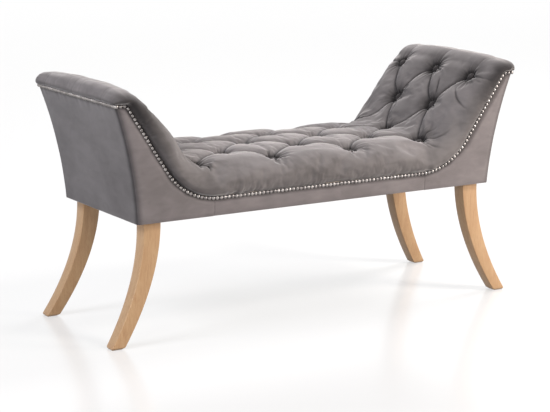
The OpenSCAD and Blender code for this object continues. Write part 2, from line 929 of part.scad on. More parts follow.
front_rail_board();
rear_rail_board();
front_left_cheek_board();
front_right_cheek_board();
rear_left_cheek_board();
rear_right_cheek_board();
front_batten();
rear_batten();
left_end_rail();
right_end_rail();
left_arm_top_rail();
right_arm_top_rail();
left_arm_tack_rail();
right_arm_tack_rail();
seat_cross_rails();
corner_blocks();
left_end_board();
right_end_board();
seat_webbing();
left_arm_webbing();
right_arm_webbing();
seat_foam();
left_arm_foam();
right_arm_foam();
seat_cover();
left_arm_cover();
right_arm_cover();
front_rail_cover();
rear_rail_cover();
front_left_cheek_cover();
front_right_cheek_cover();
rear_left_cheek_cover();
rear_right_cheek_cover();
left_end_cover();
right_end_cover();
dust_cover();
front_left_leg();
front_right_leg();
rear_left_leg();
rear_right_leg();
leg_bolts();
leg_nuts();
seat_buttons();
left_arm_buttons();
right_arm_buttons();
front_nails();
rear_nails();
left_end_nails();
right_end_nails();
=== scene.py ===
# Upholstered bench with two flared arms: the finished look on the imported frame.
# Sizes are written in millimetres, as in the solids, and turned to metres where a mesh is made.
from contextlib import contextmanager
from math import asin, atan, atan2, ceil, copysign, cos, dist, exp, floor, hypot, pi, radians, sin
import bpy
import bmesh
from mathutils import Matrix, Vector, noise


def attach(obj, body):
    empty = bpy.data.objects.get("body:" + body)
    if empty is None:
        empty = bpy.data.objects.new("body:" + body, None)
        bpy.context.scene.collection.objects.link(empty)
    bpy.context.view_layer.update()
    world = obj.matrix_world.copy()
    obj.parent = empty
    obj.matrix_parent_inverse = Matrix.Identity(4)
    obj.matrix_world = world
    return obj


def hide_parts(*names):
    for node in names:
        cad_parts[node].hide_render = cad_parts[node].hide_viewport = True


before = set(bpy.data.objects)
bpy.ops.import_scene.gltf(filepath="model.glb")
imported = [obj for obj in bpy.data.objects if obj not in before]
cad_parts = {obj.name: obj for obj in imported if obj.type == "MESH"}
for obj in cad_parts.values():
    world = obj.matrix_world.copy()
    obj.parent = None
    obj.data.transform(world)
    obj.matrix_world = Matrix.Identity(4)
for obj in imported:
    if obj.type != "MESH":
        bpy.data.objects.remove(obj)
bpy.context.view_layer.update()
scene = bpy.context.scene
MM = 0.001

# Sizes that the solids use as well
RAIL_HALF, DEPTH_HALF, LEG_HEIGHT = 529.0, 204.0, 307.0
FACE_FLARE, END_FLARE, ARM_HEIGHT, RAIL_HEIGHT = 16.0, 62.0, 295.0, 45.0
SWEEP_RADIUS, SWEEP_TURN, TOP_CORNER, ARM_TOP_RUN = 172.0, radians(57), 12.0, 25.0
NAIL_WIDTH, NAIL_PITCH, EDGE_RISE = 9.5, 11.0, 5.25
SEAT_CREST, HOLLOW, SLOPE_TURN, SHOULDER = 83.0, 105.0, radians(49), 59.0
ARM_FLAT, ARM_ROLL, TUCK, TUCK_TURN, TUCK_LIP = 12.0, 28.0, 12.0, radians(60), 3.0
FRONT_SWELL, SEAT_LOFT, ARM_LOFT, CLOTH = 13.0, 30.0, 22.0, 3.0
ROW, SEAT_DIP, ARM_DIP, CROWN = 80.0, 22.0, 15.0, 13.0
BUTTON_SEAT = 11.0
# the top runs to just past the last row, and the front and rear rolls go from there to the nails
TOP_EDGE = 2 * ROW + BUTTON_SEAT
ROLL_RUN = 120.0
C_END = TOP_EDGE + ROLL_RUN
SEAM_X = 0.6 * RAIL_HALF
LEG_INNER_X, LEG_SETBACK, LEG_TOP, LEG_FOOT = 457.0, 16.0, (47.0, 40.0), (36.0, 34.0)


# Outlines of the bench

def mix(a, b, share):
    return a + (b - a) * share


def clamp(v, low=0.0, high=1.0):
    return max(low, min(high, v))


def ease(low, high, v):
    """0 below low, 1 above high, smooth between."""
    t = clamp((v - low) / (high - low))
    return t * t * (3 - 2 * t)


def bell(distance, width):
    """1 in the middle, falling to nothing at about twice the width."""
    return exp(-(distance / width) ** 2)


def drift(x, y, z):
    """Smooth noise, the same on every run."""
    return noise.noise(Vector((x, y, z)))


def rise(z):
    """Share of the height from the rails to the top of the arms."""
    return (z - LEG_HEIGHT) / ARM_HEIGHT


def face_y(z):
    return DEPTH_HALF + FACE_FLARE * rise(z)


def end_x(z):
    return RAIL_HALF + END_FLARE * (0.28 * rise(z) + 0.72 * rise(z) ** 2)


def walk(path, distance, x, z, heading=0.0):
    """Place and heading after a distance along pieces of (length, turn)."""
    for length, turn in path:
        done = min(distance, length) if (length, turn) != path[-1] else distance
        if turn:
            radius, swept = length / turn, turn * done / length
            x += radius * (sin(heading + swept) - sin(heading))
            z += radius * (cos(heading) - cos(heading + swept))
            heading += swept
        else:
            x += done * cos(heading)
            z += done * sin(heading)
        distance -= done
        if distance <= 0:
            break
    return x, z, heading


def raised(place, height):
    return place[0] - height * sin(place[2]), place[1] + height * cos(place[2])


def lookup(v, table):
    """Straight lines through a table of (place, value)."""
    if v <= table[0][0]:
        return table[0][1]
    for (a, fa), (b, fb) in zip(table, table[1:]):
        if v <= b:
            return mix(fa, fb, (v - a) / (b - a))
    return table[-1][1]


EDGE_Z = LEG_HEIGHT + ARM_HEIGHT + EDGE_RISE
LOW_NAIL_Z = LEG_HEIGHT + RAIL_HEIGHT
nail_straight = (ARM_HEIGHT - RAIL_HEIGHT
                 - (SWEEP_RADIUS + TOP_CORNER) * (1 - cos(SWEEP_TURN))) / sin(SWEEP_TURN)
nail_flat = (end_x(EDGE_Z) - ARM_TOP_RUN - (TOP_CORNER + SWEEP_RADIUS) * sin(SWEEP_TURN)
             - nail_straight * cos(SWEEP_TURN))
nail_path = [(nail_flat, 0), (SWEEP_RADIUS * SWEEP_TURN, SWEEP_TURN), (nail_straight, 0),
             (TOP_CORNER * SWEEP_TURN, -SWEEP_TURN), (ARM_TOP_RUN, 0)]
nail_stops = [sum(p[0] for p in nail_path[:k]) for k in range(6)]

CREST_Z = LOW_NAIL_Z + SEAT_CREST
slope_length = (EDGE_Z - CREST_Z + ARM_ROLL + TUCK * sin(TUCK_TURN)
                - (HOLLOW + SHOULDER) * (1 - cos(SLOPE_TURN))) / sin(SLOPE_TURN)
crest_flat = (end_x(EDGE_Z) + TUCK_LIP + TUCK * (1 - cos(TUCK_TURN)) - ARM_ROLL - ARM_FLAT
              - (SHOULDER + HOLLOW) * sin(SLOPE_TURN) - slope_length * cos(SLOPE_TURN))
crest_path = [(crest_flat, 0), (HOLLOW * SLOPE_TURN, SLOPE_TURN), (slope_length, 0),
              (SHOULDER * SLOPE_TURN, -SLOPE_TURN), (ARM_FLAT, 0), (ARM_ROLL * pi / 2, -pi / 2),
              (TUCK * TUCK_TURN, -TUCK_TURN)]
crest_stops = [sum(p[0] for p in crest_path[:k]) for k in range(8)]
CREST_END = crest_stops[7]
# the buttons' columns reach from the middle to just under the shoulder of each arm
LAST_COLUMN, LAST_ROW, UNDER_SHOULDER = 5, 2, 40.0
COLUMN = (crest_stops[3] - UNDER_SHOULDER) / LAST_COLUMN
LAST_S = LAST_COLUMN * COLUMN


def nail_at(distance):
    """Middle of the nail line, at a distance along it from the middle of the bench."""
    return walk(nail_path, distance, 0.0, LOW_NAIL_Z)


def crest_at(s):
    """Highest line of the padding, at a distance along it from the middle of the bench."""
    return walk(crest_path, s, 0.0, CREST_Z)


def edge_at(s):
    """Edge of the deep-buttoned cover, just over the nails, that belongs to a place on the crest."""
    return raised(nail_at(lookup(s, [(0, 0), (crest_stops[1], nail_stops[1]), (crest_stops[2], nail_stops[2]),
                                     (crest_stops[3], nail_stops[3]), (crest_stops[5], nail_stops[4]),
                                     (CREST_END, nail_stops[5])])), EDGE_RISE)


def core_at(s):
    """Underside of the wadding, on the foam and then on the arm's top rail."""
    last = raised(crest_at(crest_stops[5]), -ARM_LOFT)
    if s <= crest_stops[5]:
        loft = lookup(s, [(crest_stops[1], SEAT_LOFT), (crest_stops[3], ARM_LOFT)])
        return raised(crest_at(s), -loft)
    top = LEG_HEIGHT + ARM_HEIGHT + 12
    stops = [(last[0], last[1]), (end_x(top) - 5, top + 2), (end_x(EDGE_Z), EDGE_Z)]
    return tuple(lookup(s, list(zip(crest_stops[5:], values))) for values in zip(*stops))


# The modelling helpers

def deselect():
    bpy.ops.object.select_all(action="DESELECT")


def only(piece):
    deselect()
    piece.select_set(True)
    bpy.context.view_layer.objects.active = piece


def name_piece(piece, name):
    piece.name = name
    piece.data.name = name
    return piece


def grid_piece(name, across, along, place):
    """A grid whose points go to place(u, v), u and v from 0 to 1, in millimetres."""
    deselect()
    bpy.ops.mesh.primitive_grid_add(x_subdivisions=across, y_subdivisions=along, size=1, location=(0, 0, 0))
    piece = name_piece(bpy.context.object, name)
    for v in piece.data.vertices:
        v.co = Vector(place(clamp(v.co.x + 0.5), clamp(v.co.y + 0.5))) * MM
    piece.data.update()
    return piece


def apply_modifier(piece, kind, **settings):
    only(piece)
    mod = piece.modifiers.new(kind.title(), kind)
    for key, value in settings.items():
        setattr(mod, key, value)
    bpy.ops.object.modifier_apply(modifier=mod.name)


@contextmanager
def edit_mode(piece):
    only(piece)
    bpy.ops.object.mode_set(mode="EDIT")
    yield
    bpy.ops.object.mode_set(mode="OBJECT")


def edit_all(piece, operator, **settings):
    """Runs one operator of edit mode on the whole piece."""
    with edit_mode(piece):
        bpy.ops.mesh.select_all(action="SELECT")
        operator(**settings)


def face_out(piece):
    edit_all(piece, bpy.ops.mesh.remove_doubles, threshold=0.01 * MM)
    edit_all(piece, bpy.ops.mesh.normals_make_consistent, inside=False)


def round_edges(piece, width, angle):
    """Rounds the edges that turn by more than the angle."""
    apply_modifier(piece, "BEVEL", width=width * MM, segments=3, limit_method="ANGLE",
                   angle_limit=radians(angle))


def smooth(piece, angle):
    only(piece)
    bpy.ops.object.shade_smooth_by_angle(angle=radians(angle))


def repeated(pattern, places, name):
    """Copies of one modelled shape at several places, each with its own mesh, joined to one piece."""
    copies = []
    for place in places:
        copy = pattern.copy()
        copy.data = pattern.data.copy()
        copy.data.transform(place)
        scene.collection.objects.link(copy)
        copies.append(copy)
    deselect()
    for copy in copies:
        copy.select_set(True)
    bpy.context.view_layer.objects.active = copies[0]
    bpy.ops.object.join()
    return name_piece(bpy.context.object, name)


def mirrored(piece, name):
    """Copy of a piece, mirrored from the side in its own name to the side in the new one."""
    along_x, along_y = ((side in piece.name) != (side in name) for side in ("left", "rear"))
    copy = piece.copy()
    copy.data = piece.data.copy()
    scene.collection.objects.link(copy)
    copy.data.transform(Matrix.Diagonal((-1 if along_x else 1, -1 if along_y else 1, 1, 1)))
    if along_x != along_y:
        edit_all(copy, bpy.ops.mesh.flip_normals)
    return name_piece(copy, name)


def give(piece, material, slot, *nodes):
    """The piece's finish, and the solids that it stands for."""
    piece.data.materials.clear()
    piece.data.materials.append(material)
    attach(piece, "root")
    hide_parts(*nodes)


# Materials

def linear(hexa, alpha=1.0):
    parts = [int(hexa[k:k + 2], 16) / 255 for k in (1, 3, 5)]
    return tuple(p / 12.92 if p <= 0.04045 else ((p + 0.055) / 1.055) ** 2.4 for p in parts) + (alpha,)


def put(tree, kind, inputs=None, **settings):
    """Adds a shader node with its settings, and values or links on its inputs."""
    node = tree.nodes.new("ShaderNode" + kind)
    for key, value in settings.items():
        setattr(node, key, value)
    for socket, value in (inputs or {}).items():
        if isinstance(value, bpy.types.NodeSocket):
            tree.links.new(value, node.inputs[socket])
        else:
            node.inputs[socket].default_value = value
    return node


def new_material(name, roughness=0.5, specular=0.5, **shader):
    shader = {"Roughness": roughness, "Specular IOR Level": specular, **shader}
    material = bpy.data.materials.new(name)
    material.use_nodes = True
    tree = material.node_tree
    tree.nodes.clear()
    bsdf = put(tree, "BsdfPrincipled", shader)
    put(tree, "OutputMaterial", {"Surface": bsdf.outputs["BSDF"]})
    return material, tree, bsdf


def object_place(tree, scale=(1, 1, 1), turn=(0, 0, 0)):
    """The piece's own coordinates, in metres."""
    where = put(tree, "TexCoord")
    mapped = put(tree, "Mapping", {"Vector": where.outputs["Object"], "Scale": scale, "Rotation": turn})
    return mapped.outputs["Vector"]


def noise_of(tree, place, scale, detail=2.0, roughness=0.5, distortion=0.0):
    inputs = {"Vector": place, "Scale": scale, "Detail": detail, "Roughness": roughness,
              "Distortion": distortion}
    return put(tree, "TexNoise", inputs).outputs["Fac"]


def wave_of(tree, place, scale, distortion, way):
    inputs = {"Vector": place, "Scale": scale, "Distortion": distortion}
    return put(tree, "TexWave", inputs, bands_direction=way).outputs["Fac"]


def cells_of(tree, scale, randomness=1.0):
    """Distance to the middle of the closest of many cells."""
    inputs = {"Vector": object_place(tree), "Scale": scale, "Randomness": randomness}
    return put(tree, "TexVoronoi", inputs).outputs["Distance"]


def maths(tree, operation, *values):
    """Result of a sum, a product and so on, of values or links."""
    return put(tree, "Math", dict(enumerate(values)), operation=operation).outputs[0]


def blend(tree, share, first, second, kind="MIX"):
    inputs = {"Fac": share, "Color1": first, "Color2": second}
    return put(tree, "MixRGB", inputs, blend_type=kind).outputs["Color"]


def dress(tree, bsdf, colour, relief=None, gloss=None):
    """Links colour, relief (height, strength, depth in metres) and roughness (value, low, high)."""
    tree.links.new(colour, bsdf.inputs["Base Color"])
    if relief:
        height, strength, depth = relief
        bump = put(tree, "Bump", {"Height": height, "Strength": strength, "Distance": depth})
        tree.links.new(bump.outputs["Normal"], bsdf.inputs["Normal"])
    if gloss:
        value, low, high = gloss
        span = put(tree, "MapRange", {"Value": value, "To Min": low, "To Max": high})
        tree.links.new(span.outputs["Result"], bsdf.inputs["Roughness"])


def ramp(tree, value, stops):
    """Colours at stops (place, colour) of a value."""
    node = put(tree, "ValToRGB", {"Fac": value})
    points = node.color_ramp.elements
    while len(points) < len(stops):
        points.new(0.5)
    for point, (at, hexa) in zip(points, stops):
        point.position = at
        point.color = linear(hexa)
    return node.outputs["Color"]


def velvet(name, deep, middle, light, sheen=0.9):
    """Cotton velvet, short cut pile: matt, with a pale sheen at grazing angles, soft lighter and darker
    patches where the pile lies differently, and a fine pile that reads as a tight grain."""
    material, tree, bsdf = new_material(name, 0.9, 0.2, **{
        "Sheen Weight": sheen, "Sheen Roughness": 0.38, "Sheen Tint": linear("#dedad9")})
    place = object_place(tree)
    patches = noise_of(tree, place, 7.0, 3.0, 0.5, 0.3)
    brushed = noise_of(tree, object_place(tree, (1, 1, 2.2)), 26.0, 2.0, 0.45, 0.5)
    nap_and_painted_shade = maths(tree, "MULTIPLY_ADD", brushed, 0.5, patches)
    tone = ramp(tree, nap_and_painted_shade, [(0.52, deep), (0.75, middle), (0.98, light)])
    # pile tufts are about 0.3 mm wide, drawn at 1.2 mm so that the grain shows
    pile = noise_of(tree, place, 850.0, 2.0, 0.6)
    grain = blend(tree, 0.08, tone, pile, "OVERLAY")
    # painted shade: the colour is darkened towards near black by the attribute, in the pits, in the creases,
    # along the nails, over the seat top and on the arm rolls; the same attribute carries darker smudges of
    # the pile on the front roll
    fold = put(tree, "Attribute", attribute_name="fold")
    colour_with_painted_shade = blend(tree, fold.outputs["Fac"], grain, linear("#1b1818"))
    dress(tree, bsdf, colour_with_painted_shade, (pile, 0.22, 0.0005))
    return material


def nickel_plate():
    """Pressed steel nail heads, polished and nickel plated: a bright warm mirror with faint dents."""
    material, tree, bsdf = new_material("nickel_plated_steel", Metallic=1.0)
    place = object_place(tree)
    tone = ramp(tree, noise_of(tree, place, 60.0), [(0.35, "#7b7674"), (0.65, "#9f9a97")])
    haze, dents = noise_of(tree, place, 420.0, 3.0, 0.6), noise_of(tree, place, 260.0, 1.0)
    dress(tree, bsdf, tone, (dents, 0.25, 0.0006), (haze, 0.22, 0.38))
    return material


def oak_wood():
    """Solid European oak under satin lacquer: straight long grain, narrow darker growth lines, short dark
    pores along the grain and a soft gloss."""
    coat = {"Coat Weight": 0.12, "Coat Roughness": 0.3}
    material, tree, bsdf = new_material("lacquered_oak", specular=0.4, **coat)
    grain_turn = (0.05, 0.12, 0.3)
    bands = noise_of(tree, object_place(tree, (1, 1, 0.09), grain_turn), 95.0, 4.0, 0.6, 0.7)
    tone = ramp(tree, bands, [(0.30, "#b08a65"), (0.46, "#b7926c"), (0.58, "#bc9973"), (0.74, "#b38f69")])
    pores = noise_of(tree, object_place(tree, (1, 1, 0.035), grain_turn), 900.0, 2.0, 0.7)
    dark = ramp(tree, pores, [(0.34, "#cdb59a"), (0.47, "#ffffff")])
    wood = blend(tree, 0.4, tone, dark, "MULTIPLY")
    dress(tree, bsdf, wood, (pores, 0.2, 0.0003), (bands, 0.36, 0.5))
    return material


def pine_wood():
    """Planed softwood of the inner frame: broad pale bands with narrow amber late wood."""
    material, tree, bsdf = new_material("planed_pine", 0.66, 0.3)
    bands = noise_of(tree, object_place(tree, (0.08, 1, 1)), 70.0, 3.0, 0.5, 0.9)
    tone = ramp(tree, bands, [(0.36, "#e3cb9a"), (0.5, "#d9b87e"), (0.6, "#b98c50"), (0.66, "#e0c592")])
    dress(tree, bsdf, tone, (bands, 0.15, 0.0005))
    return material


def ply_wood():
    """Sawn birch plywood: pale faces, with thin plies that show as stripes through the thickness."""
    material, tree, bsdf = new_material("sawn_plywood", 0.7, 0.25)
    plies = wave_of(tree, object_place(tree), 110.0, 0.6, "Y")
    stripe = ramp(tree, plies, [(0.2, "#a67c4c"), (0.5, "#c9a878"), (0.8, "#dcc094")])
    face = ramp(tree, noise_of(tree, object_place(tree, (0.1, 1, 1)), 60.0, 3.0, 0.6, 0.8),
                [(0.35, "#bf9a68"), (0.65, "#dcc094")])
    dress(tree, bsdf, blend(tree, 0.4, face, stripe))
    return material


def jute_webbing():
    """Woven jute webbing: coarse brown threads, about 2 mm apart."""
    material, tree, bsdf = new_material("woven_webbing", 0.9, 0.1)
    place = object_place(tree)
    weave = maths(tree, "MULTIPLY", *(wave_of(tree, place, 160.0, 0.8, way) for way in "XY"))
    tone = ramp(tree, weave, [(0.05, "#6d5636"), (0.4, "#a98d5c"), (0.8, "#c4a873")])
    dress(tree, bsdf, tone, (weave, 0.5, 0.0008))
    return material


def polyether_foam():
    """Cut upholstery foam: cream, matt, full of cells about 1.5 mm wide."""
    material, tree, bsdf = new_material("cut_foam", 1.0, 0.05)
    cells = cells_of(tree, 650.0)
    tone = ramp(tree, cells, [(0.0, "#cdbf90"), (0.35, "#ece0b6"), (1.0, "#f3e9c8")])
    dress(tree, bsdf, tone, (cells, 0.6, 0.0008))
    return material


def zinc_plate():
    """Zinc-plated steel bolts, nuts and washers: bluish grey, brushed by the thread cutter."""
    material, tree, bsdf = new_material("zinc_plated_steel", Metallic=1.0)
    streaks = noise_of(tree, object_place(tree, (1, 1, 6)), 300.0, 3.0, 0.6)
    tone = ramp(tree, streaks, [(0.3, "#9c9fa1"), (0.7, "#c6c8c9")])
    dress(tree, bsdf, tone, gloss=(streaks, 0.28, 0.5))
    return material


def spunbond_cloth():
    """Black spun-bonded polypropylene under the bench: matt, with small pressed dots about 2.5 mm apart."""
    material, tree, bsdf = new_material("black_nonwoven", 0.86, 0.2)
    dots = cells_of(tree, 400.0, 0.1)
    tone = ramp(tree, dots, [(0.1, "#121214"), (0.4, "#232326"), (0.8, "#2c2c30")])
    dress(tree, bsdf, tone, (dots, 0.4, 0.0004))
    return material


cover_velvet = velvet("grey_velvet", "#635e5d", "#706b6a", "#7d7776")
# a darker copy of the cover's velvet with less sheen: painted shade for the buttons deep in their pits
button_velvet = velvet("button_velvet", "#302c2c", "#373333", "#3f3b3a", sheen=0.4)
# a lighter copy of the cover's velvet for the front and rear faces: painted light
border_velvet = velvet("border_velvet", "#716b6a", "#7c7575", "#867f7e")
# a darker copy of the cover's velvet for the ends: painted shade
end_velvet = velvet("end_velvet", "#5b5757", "#656161", "#6e6a6a")
nickel = nickel_plate()
oak = oak_wood()
pine = pine_wood()
plywood = ply_wood()
webbing = jute_webbing()
foam = polyether_foam()
zinc = zinc_plate()
dust_cloth = spunbond_cloth()

for node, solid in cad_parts.items():
    finish = (plywood if node.endswith("board") else webbing if "webbing" in node else foam if "foam" in node
              else zinc if node.startswith("leg_") else pine)
    for material_slot in solid.material_slots:
        material_slot.material = finish


# Deep-buttoned cover

def is_button(i, j):
    """Every other place of the grid has a button."""
    return (i + j) % 2 and abs(i) <= LAST_COLUMN and abs(j) <= LAST_ROW


BUTTONS = [(i, j) for i in range(-LAST_COLUMN, LAST_COLUMN + 1) for j in range(-LAST_ROW, LAST_ROW + 1)
           if is_button(i, j)]
LINE_GAP = 2 / hypot(1 / COLUMN, 1 / ROW)
# how far the straight pleats of the outer buttons run on over the roll, by column
FRONT_RUN = {-5: 96, -3: 50, -1: 16, 1: 22, 3: 40, 5: 104}
REAR_RUN = {-5: 100, -3: 42, -1: 24, 1: 18, 3: 46, 5: 98}
# single folds: start and end (s, c), bend sideways, depth, width
FOLDS = [
    (338, -168, 392, -176, -9, 1.7, 4.0), (336, -176, 380, -198, -10, 1.6, 4.0),
    (344, -158, 404, -148, 8, 1.3, 4.5), (560, -176, 548, -226, 7, 1.8, 5.0),
    (546, -150, 520, -118, 5, 1.2, 4.5), (566, -150, 590, -120, -6, 1.2, 4.5),
    (-322, -176, -300, -204, 5, 1.2, 4.5), (-560, -176, -545, -230, -6, 1.6, 5.0),
    (330, 172, 372, 190, 7, 1.4, 4.5), (-338, 170, -380, 192, -7, 1.4, 4.5),
    (462, -96, 486, -128, 5, 1.0, 4.0), (430, -66, 400, -40, -4, 1.0, 4.0),
    (-450, 60, -486, 30, 5, 1.1, 4.5), (120, -150, 150, -138, 4, 1.0, 4.0),
    (-130, -150, -160, -140, -4, 0.9, 4.0), (514, -146, 461, -225, 10, 2.4, 3.2),
    (530, -58, 452, -84, -5, 2.4, 3.4), (525, -128, 455, -86, 7, 2.2, 3.2),
    (451, 70, 508, 56, 8, 2.2, 3.2), (332, -178, 352, -236, 6, 2.0, 3.4),
    (326, -182, 334, -226, 4, 1.8, 3.2), (344, -170, 398, -214, 9, 2.0, 3.4),
    (-322, -172, -320, -216, -3, 3.4, 3.0), (-314, -174, -312, -204, -2, 1.6, 3.0),
    (432, 70, 400, 34, -6, 1.8, 3.4), (-528, -60, -456, -88, 6, 2.2, 3.4),
    (118, -170, 119, -190, 1, 1.8, 3.0)]
# how far a button sits off the grid, along the crest and across
NUDGE = {(5, -2): (3, 8), (5, 0): (7, 8), (5, 2): (7, 8), (4, 1): (10, 1), (4, -1): (8, 3), (3, -2): (-3, 8),
         (3, 0): (2, 3), (2, -1): (-2, 2), (-3, -2): (-7, 4), (-1, -2): (-7, 3), (0, 1): (3, -2),
         (-2, 1): (-2, 3), (-1, 0): (2, 2), (-4, -1): (-5, 3), (-4, 1): (-3, -4), (-5, 0): (-4, 3),
         (-5, -2): (2, 4), (1, 2): (3, -2)}
NUDGE_REACH, PIT_REACH, WALL_R, SLOPE_R = 55.0, 118.0, 16.0, 36.0
# the seat's outer rows are this much less deep
EDGE_LESS = 5.0
# sideways bend of single pleats, where it is not the common one
BOWS = {((4, 1), (5, 0)): -20.0, ((3, -2), (4, -1)): 13.0, ((4, -1), (5, -2)): -12.0, ((3, 0), (4, -1)): -2.0}
# the seat sags a little at the foot of the left arm and is full at the foot of the right one, at the rear
SAG, SAG_WIDTH, PLUMP, PLUMP_WIDTH, PLUMP_OUT = 9.0, 42.0, 9.0, 40.0, 35.0
# the arm tops lie this much under the plain surface, in the middle and more at the front and the rear
ARM_FALL, ARM_EDGE_FALL = 3.0, 5.0


def on_grid(s, c):
    """The place on the regular grid that has been drawn to (s, c)."""
    i0, j0 = s / COLUMN, c / ROW
    moved_s = moved_c = 0.0
    for i in range(floor(i0 - 0.9), ceil(i0 + 0.9) + 1):
        for j in range(floor(j0 - 1.2), ceil(j0 + 1.2) + 1):
            if (i, j) in NUDGE:
                ds, dc = NUDGE[i, j]
                near = exp(-((s - i * COLUMN - ds) ** 2 + (c - j * ROW - dc) ** 2) / NUDGE_REACH ** 2)
                moved_s, moved_c = moved_s + ds * near, moved_c + dc * near
    return s - moved_s, c - moved_c


def button_dip(i, j):
    """Depth of a button under the plain padded surface."""
    dip = lookup(abs(i * COLUMN), [(0, SEAT_DIP), (COLUMN * 3, SEAT_DIP), (LAST_S, ARM_DIP)])
    return dip - (EDGE_LESS if abs(j) == LAST_ROW and abs(i) < 4 else 0.0)


def crown_at(s, c):
    """Rise of the seat's middle, which falls to its edges and fades up the arms; the arm tops only fall."""
    a, drop = abs(s), min(1, abs(c) / TOP_EDGE) ** 3
    over_arm = ease(LAST_S, crest_stops[3], a) * clamp((CREST_END - a) / ARM_ROLL)
    rise_there = clamp((crest_stops[3] - a) / (crest_stops[3] - crest_stops[1]))
    sag = SAG * bell(a - crest_stops[2], SAG_WIDTH) if s < 0 else 0.0
    plump = PLUMP * bell(a - crest_stops[1] - PLUMP_OUT, PLUMP_WIDTH) * ease(60, 150, c) if s > 0 else 0.0
    return CROWN * (1 - drop) * rise_there - (ARM_FALL + ARM_EDGE_FALL * drop) * over_arm - sag + plump


def near_button(s, c):
    """Distance to the closest button and that button."""
    i0, j0 = round(s / COLUMN), round(c / ROW)
    best = None
    for i in (i0 - 1, i0, i0 + 1):
        for j in (j0 - 1, j0, j0 + 1):
            i1, j1 = clamp(i, -LAST_COLUMN, LAST_COLUMN), clamp(j, -LAST_ROW, LAST_ROW)
            if (i1 + j1) % 2:
                r = hypot(s - i1 * COLUMN, c - j1 * ROW)
                if best is None or r < best[0]:
                    best = (r, (i1, j1))
    return best


def funnels(s, c):
    """The pits that the buttons draw into the padding."""
    i0, j0 = s / COLUMN, c / ROW
    depth = 0.0
    for i in range(ceil(i0 - 1.1), floor(i0 + 1.1) + 1):
        for j in range(ceil(j0 - 1.6), floor(j0 + 1.6) + 1):
            if is_button(i, j):
                r = hypot(s - i * COLUMN, c - j * ROW)
                if r < PIT_REACH:
                    # a steep wall at the button and a long soft slope round it
                    wall, slope = 0.7 / (1 + (r / WALL_R) ** 5), 0.3 * exp(-(r / SLOPE_R) ** 1.6)
                    depth += button_dip(i, j) * (wall + slope)
    return depth


def lines_near(s, c):
    """Pleats between neighbouring buttons: distance, share of the length, side of the overlap and a seed."""
    p, q = (s / COLUMN + c / ROW - 1) / 2, (s / COLUMN - c / ROW - 1) / 2
    for a, b, kind in ((p, q, 1), (q, p, -1)):
        k, m = round(a), floor(b)
        ends = [(k + m + 1, kind * (k - m)), (k + m + 2, kind * (k - m - 1))]
        if all(is_button(i, j) for i, j in ends):
            middle = k + m + 1.5
            lip = (1 if middle > 0 else -1) if abs(middle) > 3 else -kind
            share = b - m
            bow = BOWS.get(tuple(ends), 8.5 + 3.5 * drift(k * 1.7, m * 2.3, kind))
            yield (a - k) * LINE_GAP + lip * bow * sin(pi * share), share, lip, k * 7 + m * 3 + kind


def crease(t, lip):
    """Section of a folded pleat: a lip that rolls over a narrow dark gap."""
    t *= lip
    if t > 0:
        return 2.2 * exp(-t / 9.0) - 7.6 * bell(t, 2.3)
    return -2.0 * exp(t / 12.0) - 4.6 * bell(t, 3.6)


def outer_pleat(s, c, broad):
    """Straight pleats from the outer buttons, over the rolls and over the arms."""
    out_w, out_s = abs(c) - 2 * ROW, abs(s) - LAST_S
    depth = 0.0
    if out_w > 0 and abs(s) < LAST_S + COLUMN / 2:
        column = clamp(2 * round((s / COLUMN - 1) / 2) + 1, -LAST_COLUMN, LAST_COLUMN)
        run = (FRONT_RUN if c < 0 else REAR_RUN)[column]
        t = s - column * COLUMN - 0.05 * out_w * (1 if column > 0 else -1)
        fade = 1 - ease(0.35 * run, run, out_w)
        depth += fade * ((2.2 if abs(column) == 5 else 3.6) * bell(t, 9.0 if broad else 2.8))
        if broad and abs(column) < 5:
            valley = (15.0 if c > 0 else 2.5) * ease(0, 14, out_w) * (1 - ease(30, 90, out_w))
            depth += valley * bell(t, 30.0)
    if out_s > 0 and abs(c) < 2 * ROW + ROW / 2:
        row = clamp(2 * round(c / ROW / 2), -LAST_ROW, LAST_ROW)
        t = c - row * ROW
        fade = 1 - 0.8 * ease(10, 90, out_s)
        depth += fade * (1.4 if broad else 1.7) * bell(t, 12.0 if broad else 3.0)
    return depth


def tuft_height(s, c):
    """Height of the buttoned surface over the plain padded one, without its creases."""
    s, c = on_grid(s, c)
    r, (i, j) = near_button(s, c)
    height = -funnels(s, c) - outer_pleat(s, c, True)
    for t, _, _, seed in lines_near(s, c):
        height -= (3.8 + 0.9 * drift(seed, 0.3, 7.0)) * bell(t, 14.0)
    height += 1.8 * drift(s / 90, c / 70, 3.1) * ease(15, 50, r)
    return mix(-button_dip(i, j), height, ease(BUTTON_SEAT, BUTTON_SEAT + 7, r))


def padded_place(s, c):
    """Plain padded surface: over the top, and round the front or rear roll down to the nails."""
    side, a = (1 if s >= 0 else -1), abs(s)
    at, edge = crest_at(a), edge_at(a)
    top = raised(at, crown_at(s, c))
    if abs(c) <= TOP_EDGE:
        return side * top[0], c, top[1]
    t = (abs(c) - TOP_EDGE) / ROLL_RUN
    less = mix(1.0, 0.05, clamp((a - crest_stops[5]) / (CREST_END - crest_stops[5])))
    wide = face_y((at[1] + edge[1]) / 2) + FRONT_SWELL * less
    tight = face_y(edge[1])
    last = pi - asin((tight - TOP_EDGE) / (wide - TOP_EDGE))
    angle = last * t
    down = (1 - cos(angle)) / (1 - cos(last))
    # the lower part stays full and then tucks in sharply over the nails, most on the arms
    full = mix(3.0, 6.0, ease(crest_stops[1], crest_stops[2], a)) * less
    y = mix(TOP_EDGE, wide, sin(angle)) + full * ease(0.45, 0.86, t) * (1 - ease(0.88, 1.0, t) ** 1.5)
    # the outer top corners are rounder than the rolls that meet there
    down **= mix(1.0, 1.7, ease(crest_stops[4], crest_stops[6], a))
    return side * mix(top[0], edge[0], down), copysign(y, c), mix(top[1], edge[1], down)


